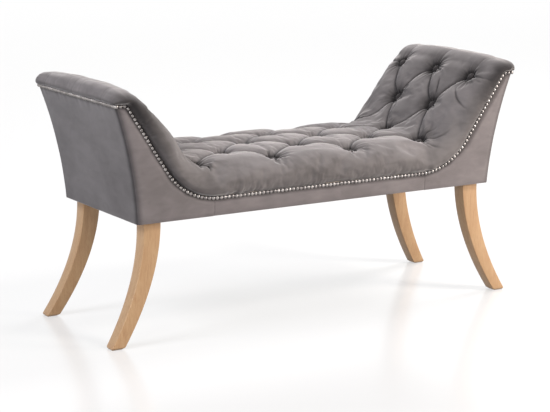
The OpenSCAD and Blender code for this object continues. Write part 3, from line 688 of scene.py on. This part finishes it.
def s_c(u, v):
    """Places along the crest and across the bench that belong to the cover's own UV map."""
    return mix(-CREST_END, CREST_END, u), mix(-C_END, C_END, v)


def cover_places(piece):
    """Place (s, c) of every point."""
    layer, places = piece.data.uv_layers.active.data, {}
    for loop in piece.data.loops:
        if loop.vertex_index not in places:
            places[loop.vertex_index] = s_c(*layer[loop.index].uv)
    return places


def push(piece, height):
    """Moves every point along its normal by height(s, c), in millimetres."""
    places, normals = cover_places(piece), [v.normal.copy() for v in piece.data.vertices]
    for v in piece.data.vertices:
        v.co += normals[v.index] * height(*places[v.index]) * MM
    piece.data.update()


def star_folds(s, c, r, i, j):
    """Fine wrinkles that run out from a button: their height, and the painted shade in their valleys."""
    turn = atan2(c - j * ROW, s - i * COLUMN) + 0.006 * r
    ridge = drift(3.1 * cos(turn), 3.1 * sin(turn), 2.3 * i + 5.1 * j)
    long = 17.0 + 14.0 * drift(1.2 * cos(turn), 1.2 * sin(turn), 1.1 * i + 0.7 * j + 9)
    fall = ease(BUTTON_SEAT - 1, BUTTON_SEAT + 4, r) * exp(-max(0.0, r - 18) / max(5.0, long))
    return (1.4 - 7.5 * abs(ridge)) * fall, clamp(abs(ridge) * 2.6 - 0.35) * fall


def single_folds(s, c):
    """Depth of the single folds that run out between the buttons and over the front roll."""
    depth = 0.0
    for s0, c0, s1, c1, bend, deep, wide in FOLDS:
        length = hypot(s1 - s0, c1 - c0)
        along = ((s - s0) * (s1 - s0) + (c - c0) * (c1 - c0)) / length ** 2
        if -0.1 < along < 1.1:
            t = ((s - s0) * (c1 - c0) - (c - c0) * (s1 - s0)) / length
            t -= bend * sin(pi * clamp(along))
            depth += deep * bell(t, wide) * ease(-0.1, 0.25, along) * (1 - ease(0.55, 1.1, along))
    return depth


def fine_folds(s, c):
    """Creases of the pleats, wrinkles at the buttons, single folds, and puckers just over the nails."""
    here = on_grid(s, c)
    r, (i, j) = near_button(*here)
    clear = ease(BUTTON_SEAT, BUTTON_SEAT + 6, r)
    height = star_folds(*here, r, i, j)[0]
    for t, share, lip, seed in lines_near(*here):
        strength = 0.85 + 0.45 * drift(seed, 2.2, 1.0)
        strength *= 0.72 + 0.28 * abs(cos(pi * share))
        height += strength * crease(t, lip) * clear
    height -= outer_pleat(*here, False) * clear
    height -= single_folds(*here)
    out = (abs(c) - TOP_EDGE) / ROLL_RUN
    if out > 0:
        # the front and the rear roll pucker differently
        shift = 40 if c > 0 else 0
        patch = ease(-0.05, 0.35, drift(s / 95 + shift, 3.0, 2.0))
        pucker = drift(s / 15 + shift, out * 1.1, 5.0) + 0.5 * drift(s / 7.0, out * 1.5, 9.0)
        height += (0.7 + 2.6 * patch) * pucker * ease(0.5, 0.9, out) * (1 - 0.7 * ease(0.95, 1.0, out))
        height += 1.8 * drift(s / 42 + shift, out * 0.8, 1.0) * ease(0.0, 0.4, out)
    return height


def fold_shade(s, c):
    """Painted shade from 0 to 1: in the pits, in the creases and folds, along the nails, over the seat top
    and on the arm rolls; on the front roll it also holds darker smudges of the pile.
    """
    out, out_roll, front = min(C_END - abs(c), CREST_END - abs(s)), C_END - abs(c), c < 0
    s, c = on_grid(s, c)
    a = abs(s)
    r, (i, j) = near_button(s, c)
    on_arm = ease(crest_stops[1], crest_stops[2], a)
    # painted shade in the pits round the buttons, wider on the arms
    pit = 0.95 * (1 - ease(mix(12, 15, on_arm), mix(27, 38, on_arm), r))
    round_pit = mix(0.25, 0.72, on_arm) * (1 - ease(14, mix(42, 58, on_arm), r))
    # painted shade that darkens the seat top a little
    painted_seat_top_shade = 0.07 * (1 - on_arm) * (1 - ease(TOP_EDGE - 20, TOP_EDGE + 15, abs(c)))
    # painted shade in the valleys of the wrinkles round the buttons
    shade = max(pit, round_pit, painted_seat_top_shade, 0.7 * star_folds(s, c, r, i, j)[1])
    # painted shade along the creases of the pleats
    for t, share, lip, _ in lines_near(s, c):
        t *= lip
        strength = 0.6 + 0.4 * abs(cos(pi * share))
        shade = max(shade, strength * bell(t, 2.2 if t > 0 else 4.2))
    # painted shade in the straight pleats and the single folds
    shade = max(shade, 0.25 * outer_pleat(s, c, False), 0.28 * single_folds(s, c))
    # painted shade on the arm rolls, strongest near the nails
    high = ease(crest_stops[2] - 30, crest_stops[3], a) * (1 - 0.6 * ease(crest_stops[4], crest_stops[6], a))
    reach = out_roll + 8.0 * drift(s / 28, c / 60, 8.0)
    nap_and_painted_shade = 0.85 * high * (1 - ease(mix(34, 46, high), mix(88, 110, high), reach))
    # on the front roll, darker smudges of the pile's own lie: real colour
    if front:
        smudge = clamp(2.4 * drift(s / 34, c / 48, 5.0) + 0.6 * drift(s / 9, c / 30, 2.0))
        in_band = ease(16, 44, out_roll) * (1 - ease(74, 112, out_roll))
        nap_and_painted_shade = max(nap_and_painted_shade, 0.22 * smudge * in_band * (1 - on_arm))
    # painted shade along the nails
    return max(shade, nap_and_painted_shade, 0.75 * (1 - ease(1, mix(8, 16, on_arm), out)))


def shade_folds(piece, value):
    """Writes a share from 0 to 1 to each point, which the velvet uses for painted shade and for smudges of
    the pile.
    """
    fold = piece.data.attributes.new("fold", "FLOAT", "POINT")
    for k, (s, c) in cover_places(piece).items():
        fold.data[k].value = value(s, c)


# 1.5% more cloth than the pad is long, blown up a little by the padding; mass is in kg for each point
CLOTH_SETTINGS = {"quality": 5, "mass": 0.25, "tension_stiffness": 20, "compression_stiffness": 20,
                  "shear_stiffness": 8, "bending_stiffness": 0.6, "vertex_group_mass": "held",
                  "pin_stiffness": 1.0, "use_pressure": True, "uniform_pressure_force": 1.2,
                  "shrink_min": -0.015}
CLOTH_FRAMES, FARTHEST_MOVE, HELD_WIDTH = 18, 22.0, 4.0


def relax_cloth(piece):
    """Cloth simulation of the cover: more fabric than the pad is long, held at the buttons and the nails."""
    mesh = piece.data
    group = piece.vertex_groups.new(name="held")
    loose = {}
    for k, (s, c) in cover_places(piece).items():
        # over the arm tops and their rolls the fabric lies tight, so there it keeps only a part of the slack
        over = ease(LAST_S + 10, crest_stops[3], abs(s))
        beside = ease(TOP_EDGE, TOP_EDGE + 40, abs(c)) * ease(crest_stops[1], crest_stops[2], abs(s))
        loose[k] = 1 - 0.75 * max(over, 0.7 * beside)
        at_rim = abs(c) > C_END - HELD_WIDTH or abs(s) > CREST_END - HELD_WIDTH
        hold = 1.0 if at_rim or near_button(s, c)[0] < BUTTON_SEAT else 0.0
        if not hold and any(abs(line[0]) < HELD_WIDTH for line in lines_near(s, c)):
            hold = 0.5
        if hold:
            group.add([k], hold, "REPLACE")
    start = [v.co.copy() for v in mesh.vertices]
    cloth = piece.modifiers.new("Cloth", "CLOTH")
    for key, value in CLOTH_SETTINGS.items():
        setattr(cloth.settings, key, value)
    cloth.settings.effector_weights.gravity = 0
    cloth.collision_settings.use_self_collision = False
    cloth.point_cache.frame_start, cloth.point_cache.frame_end = 1, CLOTH_FRAMES + 2
    for number in range(1, CLOTH_FRAMES + 1):
        scene.frame_set(number)
    result = piece.evaluated_get(bpy.context.evaluated_depsgraph_get()).to_mesh()
    moved = [v.co.copy() for v in result.vertices]
    piece.modifiers.remove(cloth)
    for v, before, after in zip(mesh.vertices, start, moved):
        step = after - before
        v.co = before + step * loose[v.index] * min(1.0, FARTHEST_MOVE * MM / max(step.length, 1e-9))
    mesh.update()
    scene.frame_set(1)


def close_cover(piece):
    """Closes the cover along its edges with the underside of the wadding."""
    bm = bmesh.new()
    bm.from_mesh(piece.data)
    layer = bm.loops.layers.uv.active
    rows = {}
    for v in bm.verts:
        if v.is_boundary:
            uv = v.link_loops[0][layer].uv
            rows[v] = (uv.x, uv.y)

    def side_at(axis, edge):
        """Points on one side of the UV map, in order along it."""
        return sorted((v for v, uv in rows.items() if abs(uv[axis] - edge) < 1e-4),
                      key=lambda v: rows[v][1 - axis])

    front, rear, left, right = side_at(1, 0), side_at(1, 1), side_at(0, 0), side_at(0, 1)
    rings = []
    for v, w in zip(front, rear):
        s, _ = s_c(*rows[v])
        side = 1 if s >= 0 else -1
        edge, core = edge_at(abs(s)), core_at(abs(s))
        inner = [(side * x, way * (face_y(z) - CLOTH), z)
                 for (x, z), way in ((edge[:2], -1), (core[:2], -1), (core[:2], 1), (edge[:2], 1))]
        rings.append([v] + [bm.verts.new(Vector(p) * MM) for p in inner] + [w])
    for a, b in zip(rings, rings[1:]):
        for k in range(len(a) - 1):
            bm.faces.new([a[k], a[k + 1], b[k + 1], b[k]])
    bm.faces.new(left[::-1] + rings[0][1:5])
    bm.faces.new(right + rings[-1][4:0:-1])
    bmesh.ops.recalc_face_normals(bm, faces=bm.faces)
    bm.to_mesh(piece.data)
    bm.free()


ALONG, ACROSS = 360, 146
deep_cover = grid_piece("deep_buttoned_cover", ALONG, ACROSS, lambda u, v: padded_place(*s_c(u, v)))
push(deep_cover, tuft_height)
relax_cloth(deep_cover)
apply_modifier(deep_cover, "SUBSURF", levels=1, render_levels=1, uv_smooth="NONE")
push(deep_cover, fine_folds)
shade_folds(deep_cover, fold_shade)
close_cover(deep_cover)
smooth(deep_cover, 60)
give(deep_cover, cover_velvet, "velvet", "seat_cover", "left_arm_cover", "right_arm_cover")


# Covered buttons

def ring_dome(name, sides, rings, top):
    """A closed dome from a disc: each ring is extruded up and drawn in."""
    deselect()
    bpy.ops.mesh.primitive_circle_add(vertices=sides, radius=rings[0][0] * MM, fill_type="NGON",
                                      location=(0, 0, rings[0][1] * MM))
    piece = name_piece(bpy.context.object, name)
    bpy.ops.object.transform_apply(location=True)
    with edit_mode(piece):
        bpy.ops.mesh.select_all(action="SELECT")
        for (r0, z0), (r1, z1) in zip(rings, rings[1:]):
            bpy.ops.mesh.extrude_region_move(TRANSFORM_OT_translate={"value": (0, 0, (z1 - z0) * MM)})
            bpy.ops.transform.resize(value=(r1 / r0, r1 / r0, 1), center_override=(0, 0, 0))
        bpy.ops.mesh.poke(offset=(top - rings[-1][1]) * MM)
    face_out(piece)
    return piece


# radius and height of each ring, from the rim to the top
button_shape = ring_dome("button_shape", 24, [(9.6, -1.5), (10.5, 0.6), (10.2, 2.4), (8.6, 4.2), (5.6, 5.5),
                                              (2.6, 5.95)], 6.0)
apply_modifier(button_shape, "SUBSURF", levels=1, render_levels=1)
GATHERS = 13
for v in button_shape.data.vertices:
    # gathered fabric at the rim of the covered shell
    turn, r = atan2(v.co.y, v.co.x), hypot(v.co.x, v.co.y) / MM
    v.co.z += 0.35 * MM * cos(GATHERS * turn) * ease(6, 10, r)
    wider = 1 + 0.02 * cos(GATHERS * turn) * ease(7, 10, r)
    v.co.x, v.co.y = v.co.x * wider, v.co.y * wider
button_shape.data.update()


def button_place(i, j):
    side = -1 if i < 0 else 1
    moved_s, moved_c = NUDGE.get((i, j), (0, 0))
    s, c = i * COLUMN + moved_s, j * ROW + moved_c
    at = crest_at(abs(s))
    seat = raised(at, crown_at(s, c) - button_dip(i, j) + 0.3)
    # the gathers lie differently from button to button
    spin = Matrix.Rotation(0.7 * i + 1.9 * j, 4, "Z")
    return (Matrix.Translation(Vector((side * seat[0], c, seat[1])) * MM)
            @ Matrix.Rotation(-side * at[2], 4, "Y") @ spin)


for name, group in (("seat_buttons", range(-2, 3)), ("left_arm_buttons", range(-LAST_COLUMN, -2)),
                    ("right_arm_buttons", range(3, LAST_COLUMN + 1))):
    piece = repeated(button_shape, [button_place(i, j) for i, j in BUTTONS if i in group], "covered_" + name)
    smooth(piece, 60)
    give(piece, button_velvet, "velvet", name)
bpy.data.objects.remove(button_shape)


# Nails

nail_shape = ring_dome("nail_shape", 12, [(NAIL_WIDTH / 2, 0.0), (4.6, 1.0), (3.9, 2.1), (2.6, 2.85),
                                          (1.2, 3.2)], 3.3)
smooth(nail_shape, 70)


def wobble(k, seed):
    """Unevenness of hand-driven nails."""
    return drift(k * 1.37, seed, 0.5)


def front_nail(distance, side, k):
    """A nail on the front face, square to it but for a slight lean of its own."""
    at = nail_at(distance)
    lean = atan(FACE_FLARE / ARM_HEIGHT)
    place = Vector((side * at[0] + 0.4 * wobble(k, 1), -face_y(at[1]), at[1] + 0.5 * wobble(k, 2))) * MM
    return (Matrix.Translation(place) @ Matrix.Rotation(pi / 2 + lean + 0.09 * wobble(k, 3), 4, "X")
            @ Matrix.Rotation(0.12 * wobble(k, 4), 4, "Y"))


def nail_rows(places, side, opposite):
    """A row of nails, and its mirror image on the opposite side."""
    nails = repeated(nail_shape, places, side + "_dome_nails")
    give(nails, nickel, "nickel", side + "_nails")
    give(mirrored(nails, opposite + "_dome_nails"), nickel, "nickel", opposite + "_nails")


line_length = nail_stops[5] - NAIL_WIDTH / 2
steps = floor(line_length / NAIL_PITCH)
places = [front_nail(0, 1, 0)] + [front_nail(line_length * i / steps, side, i * side)
                                  for i in range(1, steps + 1) for side in (-1, 1)]
nail_rows(places, "front", "rear")
top_z = LEG_HEIGHT + ARM_HEIGHT
reach = face_y(top_z) - NAIL_WIDTH / 2
end_steps = floor(2 * reach / NAIL_PITCH)
slope = atan(END_FLARE / ARM_HEIGHT * (0.28 + 1.44 * rise(top_z)))
places = [Matrix.Translation(Vector((end_x(top_z), mix(-reach, reach, i / end_steps) + 0.3 * wobble(i, 7),
                                     top_z + 0.5 * wobble(i, 8))) * MM)
          @ Matrix.Rotation(pi / 2 + slope + 0.08 * wobble(i, 9), 4, "Y") for i in range(end_steps + 1)]
nail_rows(places, "right_end", "left_end")
bpy.data.objects.remove(nail_shape)


# Plain borders and ends

def coons(top, bottom, left, right, u, v):
    """Blend of four border curves, each from 0 to 1, in two coordinates."""
    t, b, l, r = top(u), bottom(u), left(v), right(v)
    t0, t1, b0, b1 = top(0), top(1), bottom(0), bottom(1)
    return [(1 - v) * t[k] + v * b[k] + (1 - u) * l[k] + u * r[k]
            - ((1 - u) * (1 - v) * t0[k] + u * (1 - v) * t1[k] + (1 - u) * v * b0[k] + u * v * b1[k])
            for k in (0, 1)]


def on_line(points, share):
    """Place at a share of the length of a line of points."""
    lengths = [dist(a, b) for a, b in zip(points, points[1:])]
    left = share * sum(lengths)
    for (a, b), length in zip(zip(points, points[1:]), lengths):
        if left <= length:
            return [mix(a[k], b[k], left / length) for k in (0, 1)]
        left -= length
    return list(points[-1])


end_heights = [mix(LEG_HEIGHT, EDGE_Z, k / 40) for k in range(41)]
end_points = [(end_x(z), z) for z in end_heights]
cheek_bottom = [(SEAM_X, LEG_HEIGHT)] + end_points
top_run = [raised(nail_at(mix(nail_stops[3], nail_stops[5], k / 24)), EDGE_RISE) for k in range(25)]
top_run[-1] = end_points[-1]
NAIL_LINE = [nail_at(nail_stops[5] * k / 240)[:2] for k in range(241)]
# radius of the cloth round the upright corners
CORNER = 9.0
SHEET_THICKNESS, DUST_THICKNESS = 2.9, 0.5


def from_nails(x, z):
    """Distance on the front face to the nail line."""
    return min(hypot(abs(x) - at[0], z - at[1]) for at in NAIL_LINE)


def corner_turn(gap):
    """Turn of the cloth round an upright corner, from the flat to the seam in its middle."""
    return pi / 4 * (1 - gap / CORNER)


def belly_of(u, v, power):
    """1 in the middle of a sheet and 0 along its edges."""
    return (sin(pi * clamp(u)) * sin(pi * clamp(v))) ** power


def border_place(x, z, u, v):
    """Front face, drawn over its thin wadding and down to the nails: a slight belly and faint pulls."""
    belly = 1.4 * belly_of(u, v, 0.45)
    belly += 1.7 * ease(3, 16, from_nails(x, z)) * ease(0, 10, z - LEG_HEIGHT) * ease(4, 22, end_x(z) - x)
    y = face_y(z) + belly + 0.35 * drift(x / 60, z / 45, 2.0)
    gap = end_x(z) - x
    if gap < CORNER:
        turn = corner_turn(gap)
        x, y = end_x(z) - CORNER + CORNER * sin(turn), y - CORNER + CORNER * cos(turn)
    return x, -y, z


def cheek_place(u, v):
    x, z = coons(lambda a: raised(nail_at(mix(SEAM_X, nail_stops[3], a)), EDGE_RISE),
                 lambda a: on_line(cheek_bottom, a),
                 lambda b: (SEAM_X, mix(LOW_NAIL_Z + EDGE_RISE, LEG_HEIGHT, b)),
                 lambda b: on_line(top_run, b), u, v)
    return border_place(x, z, u, v)


def rail_place(u, v):
    return border_place(mix(-SEAM_X, SEAM_X, u), mix(LOW_NAIL_Z + EDGE_RISE, LEG_HEIGHT, v), u, v)


def end_place(u, v):
    """End panel: blind stitched along both upright edges, so it dips there."""
    z = mix(EDGE_Z, LEG_HEIGHT, v)
    half = face_y(z)
    y = mix(-half, half, u)
    gap = half - abs(y)
    belly = 1.8 * belly_of(u, v, 0.5) * ease(0, 20, gap)
    pinch = 0.8 * drift(y / 16, 1.0, 3.0) * (1 - ease(8, 40, EDGE_Z - z))
    x = end_x(z) + belly + pinch + 0.4 * drift(y / 70, z / 60, 6.0)
    if gap < CORNER:
        turn = corner_turn(gap)
        x, y = x - CORNER + CORNER * cos(turn), copysign(half - CORNER + CORNER * sin(turn), y)
    return x, y, z


def upholstered_sheet(name, across, along, place, inward):
    """A sheet over its board, as thick as velvet on thin wadding, with rounded turned edges."""
    piece = grid_piece(name, across, along, place)
    edit_all(piece, bpy.ops.mesh.normals_make_consistent, inside=False)
    middle = piece.data.polygons[len(piece.data.polygons) // 2]
    if middle.normal.dot(Vector(inward)) > 0:
        edit_all(piece, bpy.ops.mesh.flip_normals)
    apply_modifier(piece, "SOLIDIFY", thickness=SHEET_THICKNESS * MM, offset=-1)
    round_edges(piece, 1.25, 55)
    smooth(piece, 50)
    return piece


def paint_shade(piece, value):
    """Writes value(x, y, z), places in millimetres, as the share of painted shade at each point."""
    fold = piece.data.attributes.get("fold") or piece.data.attributes.new("fold", "FLOAT", "POINT")
    for v in piece.data.vertices:
        fold.data[v.index].value = clamp(value(*(v.co / MM)))


def border_shade(x, y, z):
    """Painted shade round the nails and at the upright corners."""
    near = from_nails(x, z) + 2.5 * drift(x / 30, z / 30, 1.0)
    corner = hypot(end_x(z) - x, face_y(z) + y)
    return max(0.7 * (1 - ease(3, 12, near)), 0.5 * (1 - ease(2, 19, corner)))


def right_cheek_shade(x, y, z):
    """Painted shadow on the front right cheek beside its upper nails, where the arm's roll overhangs."""
    return max(border_shade(x, y, z), 0.5 * (1 - ease(7, 19, from_nails(x, z))) * ease(360, 440, z))


def end_shade(x, y, z):
    """Painted shade under the nails and beside the blind-stitched edges."""
    near = EDGE_Z - 5 - z + 4.0 * drift(y / 22, z / 60, 1.0)
    seam = face_y(z) - abs(y) + 3.0 * drift(z / 40, y / 300, 4.0)
    return max(0.65 * (1 - ease(3, 14, near)), 0.5 * (1 - ease(6, 20, seam)))


def declare_sheet(piece, material, flat, area=None):
    """Dresses a sheet and hides the solid that it stands for; its flat size is not used."""
    part = piece.name.rsplit("_", 1)[0]
    give(piece, material, "velvet", part + "_cover")


FACE_INWARD, END_INWARD = (0, 1, 0), (-1, 0, 0)
rail_border = upholstered_sheet("front_rail_border", 130, 12, rail_place, FACE_INWARD)
cheek_border = upholstered_sheet("front_right_cheek_border", 120, 44, cheek_place, FACE_INWARD)
end_panel = upholstered_sheet("right_end_panel", 112, 72, end_place, END_INWARD)
# painted shade along the nails and at the upright corners of the borders and ends
for piece, shade in ((rail_border, border_shade), (cheek_border, border_shade), (end_panel, end_shade)):
    paint_shade(piece, shade)
# velvet, cut size in metres and, for the cheeks, area in square metres
RAIL_CUT, CHEEK_CUT = (border_velvet, (0.636, 0.051)), (border_velvet, (0.315, 0.275), 0.0376)
END_CUT = (end_velvet, (0.42, 0.31))
declare_sheet(rail_border, *RAIL_CUT)
declare_sheet(cheek_border, *CHEEK_CUT)
declare_sheet(end_panel, *END_CUT)
declare_sheet(mirrored(rail_border, "rear_rail_border"), *RAIL_CUT)
for corner in ("front_left", "rear_right", "rear_left"):
    declare_sheet(mirrored(cheek_border, corner + "_cheek_border"), *CHEEK_CUT)
declare_sheet(mirrored(end_panel, "left_end_panel"), *END_CUT)
# painted shadow beside the upper nails of the front right cheek only
paint_shade(cheek_border, right_cheek_shade)


# Dust cover

COVER_X, COVER_Y = RAIL_HALF - 12, DEPTH_HALF - 12
CUT_OUT_ROOM = 3.0
LEG_INNER = LEG_INNER_X - CUT_OUT_ROOM
LEG_INSIDE_Y = DEPTH_HALF - LEG_SETBACK - LEG_TOP[1] - CUT_OUT_ROOM


def dust_place(u, v):
    x, y = mix(-COVER_X, COVER_X, u), mix(-COVER_Y, COVER_Y, v)
    sag = 3.2 * max(0.0, 1 - (abs(x) / 440) ** 2) * max(0.0, 1 - (abs(y) / 170) ** 2)
    return x, y, LEG_HEIGHT - 0.6 - sag - 0.3 * abs(drift(x / 50, y / 35, 4.0))


def stepped(low, high, inner, count):
    """Shares along a side with two of them exactly on the legs' cut-outs."""
    cuts = [low, -inner, inner, high]
    out = []
    for (a, b), n in zip(zip(cuts, cuts[1:]), count):
        out += [mix(a, b, k / n) for k in range(n)]
    return [(v - low) / (high - low) for v in out + [high]]


xs = stepped(-COVER_X, COVER_X, LEG_INNER, (5, 70, 5))
ys = stepped(-COVER_Y, COVER_Y, LEG_INSIDE_Y, (4, 24, 4))
dust = grid_piece("underside_dust_cover", len(xs) - 1, len(ys) - 1,
                  lambda u, v: dust_place(xs[round(u * (len(xs) - 1))], ys[round(v * (len(ys) - 1))]))
edit_all(dust, bpy.ops.mesh.select_all, action="DESELECT")
for face in dust.data.polygons:
    face.select = abs(face.center.x) > LEG_INNER * MM and abs(face.center.y) > LEG_INSIDE_Y * MM
with edit_mode(dust):
    bpy.ops.mesh.delete(type="FACE")
edit_all(dust, bpy.ops.mesh.normals_make_consistent, inside=False)
apply_modifier(dust, "SOLIDIFY", thickness=DUST_THICKNESS * MM, offset=0)
smooth(dust, 50)
give(dust, dust_cloth, "dust_cloth", "dust_cover")


# Sabre legs

LEG_SWEEP, FRONT_SPLAY, REAR_SPLAY = 108.0, 8.0, 25.0
LEG_LEVELS, FOOT_CHAMFER = 36, 5.0


def sabre_leg(name, splay):
    """A front right leg: a block cut into levels, swept out and tapered, with eased edges."""
    deselect()
    bpy.ops.mesh.primitive_cube_add(size=1, location=(0, 0, 0))
    leg = name_piece(bpy.context.object, name)
    for level in range(1, LEG_LEVELS):
        edit_all(leg, bpy.ops.mesh.bisect, plane_co=(0, 0, level / LEG_LEVELS - 0.5), plane_no=(0, 0, 1))
    for v in leg.data.vertices:
        fall = clamp(0.5 - v.co.z)
        curve = fall ** 1.9
        inner = LEG_INNER_X + LEG_SWEEP * curve
        front = DEPTH_HALF - LEG_SETBACK + splay * curve
        width, depth = mix(LEG_TOP[0], LEG_FOOT[0], fall), mix(LEG_TOP[1], LEG_FOOT[1], fall)
        v.co = Vector((inner + (v.co.x + 0.5) * width, -(front - (v.co.y + 0.5) * depth),
                       LEG_HEIGHT * (1 - fall))) * MM
    leg.data.update()
    face_out(leg)
    # a chamfer round the foot only
    for v in leg.data.vertices:
        v.select = v.co.z < 0.01 * MM
    for part in (*leg.data.edges, *leg.data.polygons):
        part.select = all(leg.data.vertices[k].select for k in part.vertices)
    with edit_mode(leg):
        bpy.ops.mesh.select_mode(type="EDGE")
        bpy.ops.mesh.bevel(offset=FOOT_CHAMFER * MM, segments=1, affect="EDGES")
    round_edges(leg, 1.9, 28)
    smooth(leg, 25)
    return leg


for row, splay in (("front", FRONT_SPLAY), ("rear", REAR_SPLAY)):
    leg_shape = sabre_leg("right_leg_shape", splay)
    leg = mirrored(leg_shape, row + "_right_sabre_leg")
    bpy.data.objects.remove(leg_shape)
    give(leg, oak, "oak", row + "_right_leg")
    give(mirrored(leg, row + "_left_sabre_leg"), oak, "oak", row + "_left_leg")


# Floor, light and camera

def shown_rays(tree):
    """1 for what the camera sees, directly, mirrored or through glass, and 0 for light on the bench."""
    seen = put(tree, "LightPath")
    direct = maths(tree, "MAXIMUM", seen.outputs["Is Camera Ray"], seen.outputs["Is Glossy Ray"])
    return maths(tree, "MAXIMUM", direct, seen.outputs["Is Transmission Ray"])


def pale_floor():
    """A paper sweep that looks white and keeps the shadow."""
    deselect()
    bpy.ops.mesh.primitive_circle_add(vertices=96, radius=30, fill_type="NGON", location=(0, 0, 0))
    sweep = name_piece(bpy.context.object, "studio_floor")
    material, tree, bsdf = new_material("pale_floor", 0.2, 0.2, **{
        "Base Color": linear("#8f8e8d"), "Emission Color": linear("#ffffff")})
    glow = maths(tree, "MULTIPLY", shown_rays(tree), 0.55)
    tree.links.new(glow, bsdf.inputs["Emission Strength"])
    sweep.data.materials.append(material)


def softbox(name, place, size, power, tone):
    """An area light, in metres and watts, that faces the middle of the bench."""
    data = bpy.data.lights.new(name, "AREA")
    data.shape = "RECTANGLE"
    data.size, data.size_y = size
    data.energy = power
    data.color = linear(tone)[:3]
    item = bpy.data.objects.new(name, data)
    scene.collection.objects.link(item)
    item.location = place
    item.rotation_euler = (BENCH_MIDDLE - Vector(place)).to_track_quat("-Z", "Y").to_euler()


def white_world():
    """White behind the bench, and almost no light from all round."""
    world = bpy.data.worlds.new("white_studio")
    scene.world = world
    world.use_nodes = True
    tree = world.node_tree
    tree.nodes.clear()
    soft = put(tree, "Background", {"Color": linear("#f2f2f2"), "Strength": 0.05})
    white = put(tree, "Background", {"Color": linear("#ffffff"), "Strength": 1.0})
    both = put(tree, "MixShader", {0: shown_rays(tree), 1: soft.outputs[0], 2: white.outputs[0]})
    put(tree, "OutputWorld", {"Surface": both.outputs[0]})


def photo_camera():
    """The camera that was fitted to the bench's corners and nail line."""
    data = bpy.data.cameras.new("photo_view")
    data.sensor_width, data.lens = 36, 124.6
    camera = bpy.data.objects.new("photo_view", data)
    scene.collection.objects.link(camera)
    camera.location = (-2.572, -4.206, 1.278)
    camera.rotation_euler = (radians(78.36), 0, radians(-31.27))
    scene.camera = camera


BENCH_MIDDLE = Vector((0, 0, 0.45))
pale_floor()
softbox("key_softbox", (2.0, -3.4, 4.0), (1.3, 1.3), 168, "#fffaf5")
softbox("near_softbox", (1.9, -1.8, 0.9), (0.7, 0.7), 47, "#fff7f0")
softbox("left_softbox", (-3.4, -0.3, 3.3), (1.6, 1.6), 122, "#f2f6ff")
softbox("low_left_softbox", (-3.2, -2.0, 1.0), (1.2, 1.0), 46, "#fbfbff")
softbox("right_softbox", (3.0, 0.8, 3.4), (1.6, 1.6), 122, "#fdfcff")
white_world()
photo_camera()
scene.view_settings.view_transform = "Standard"
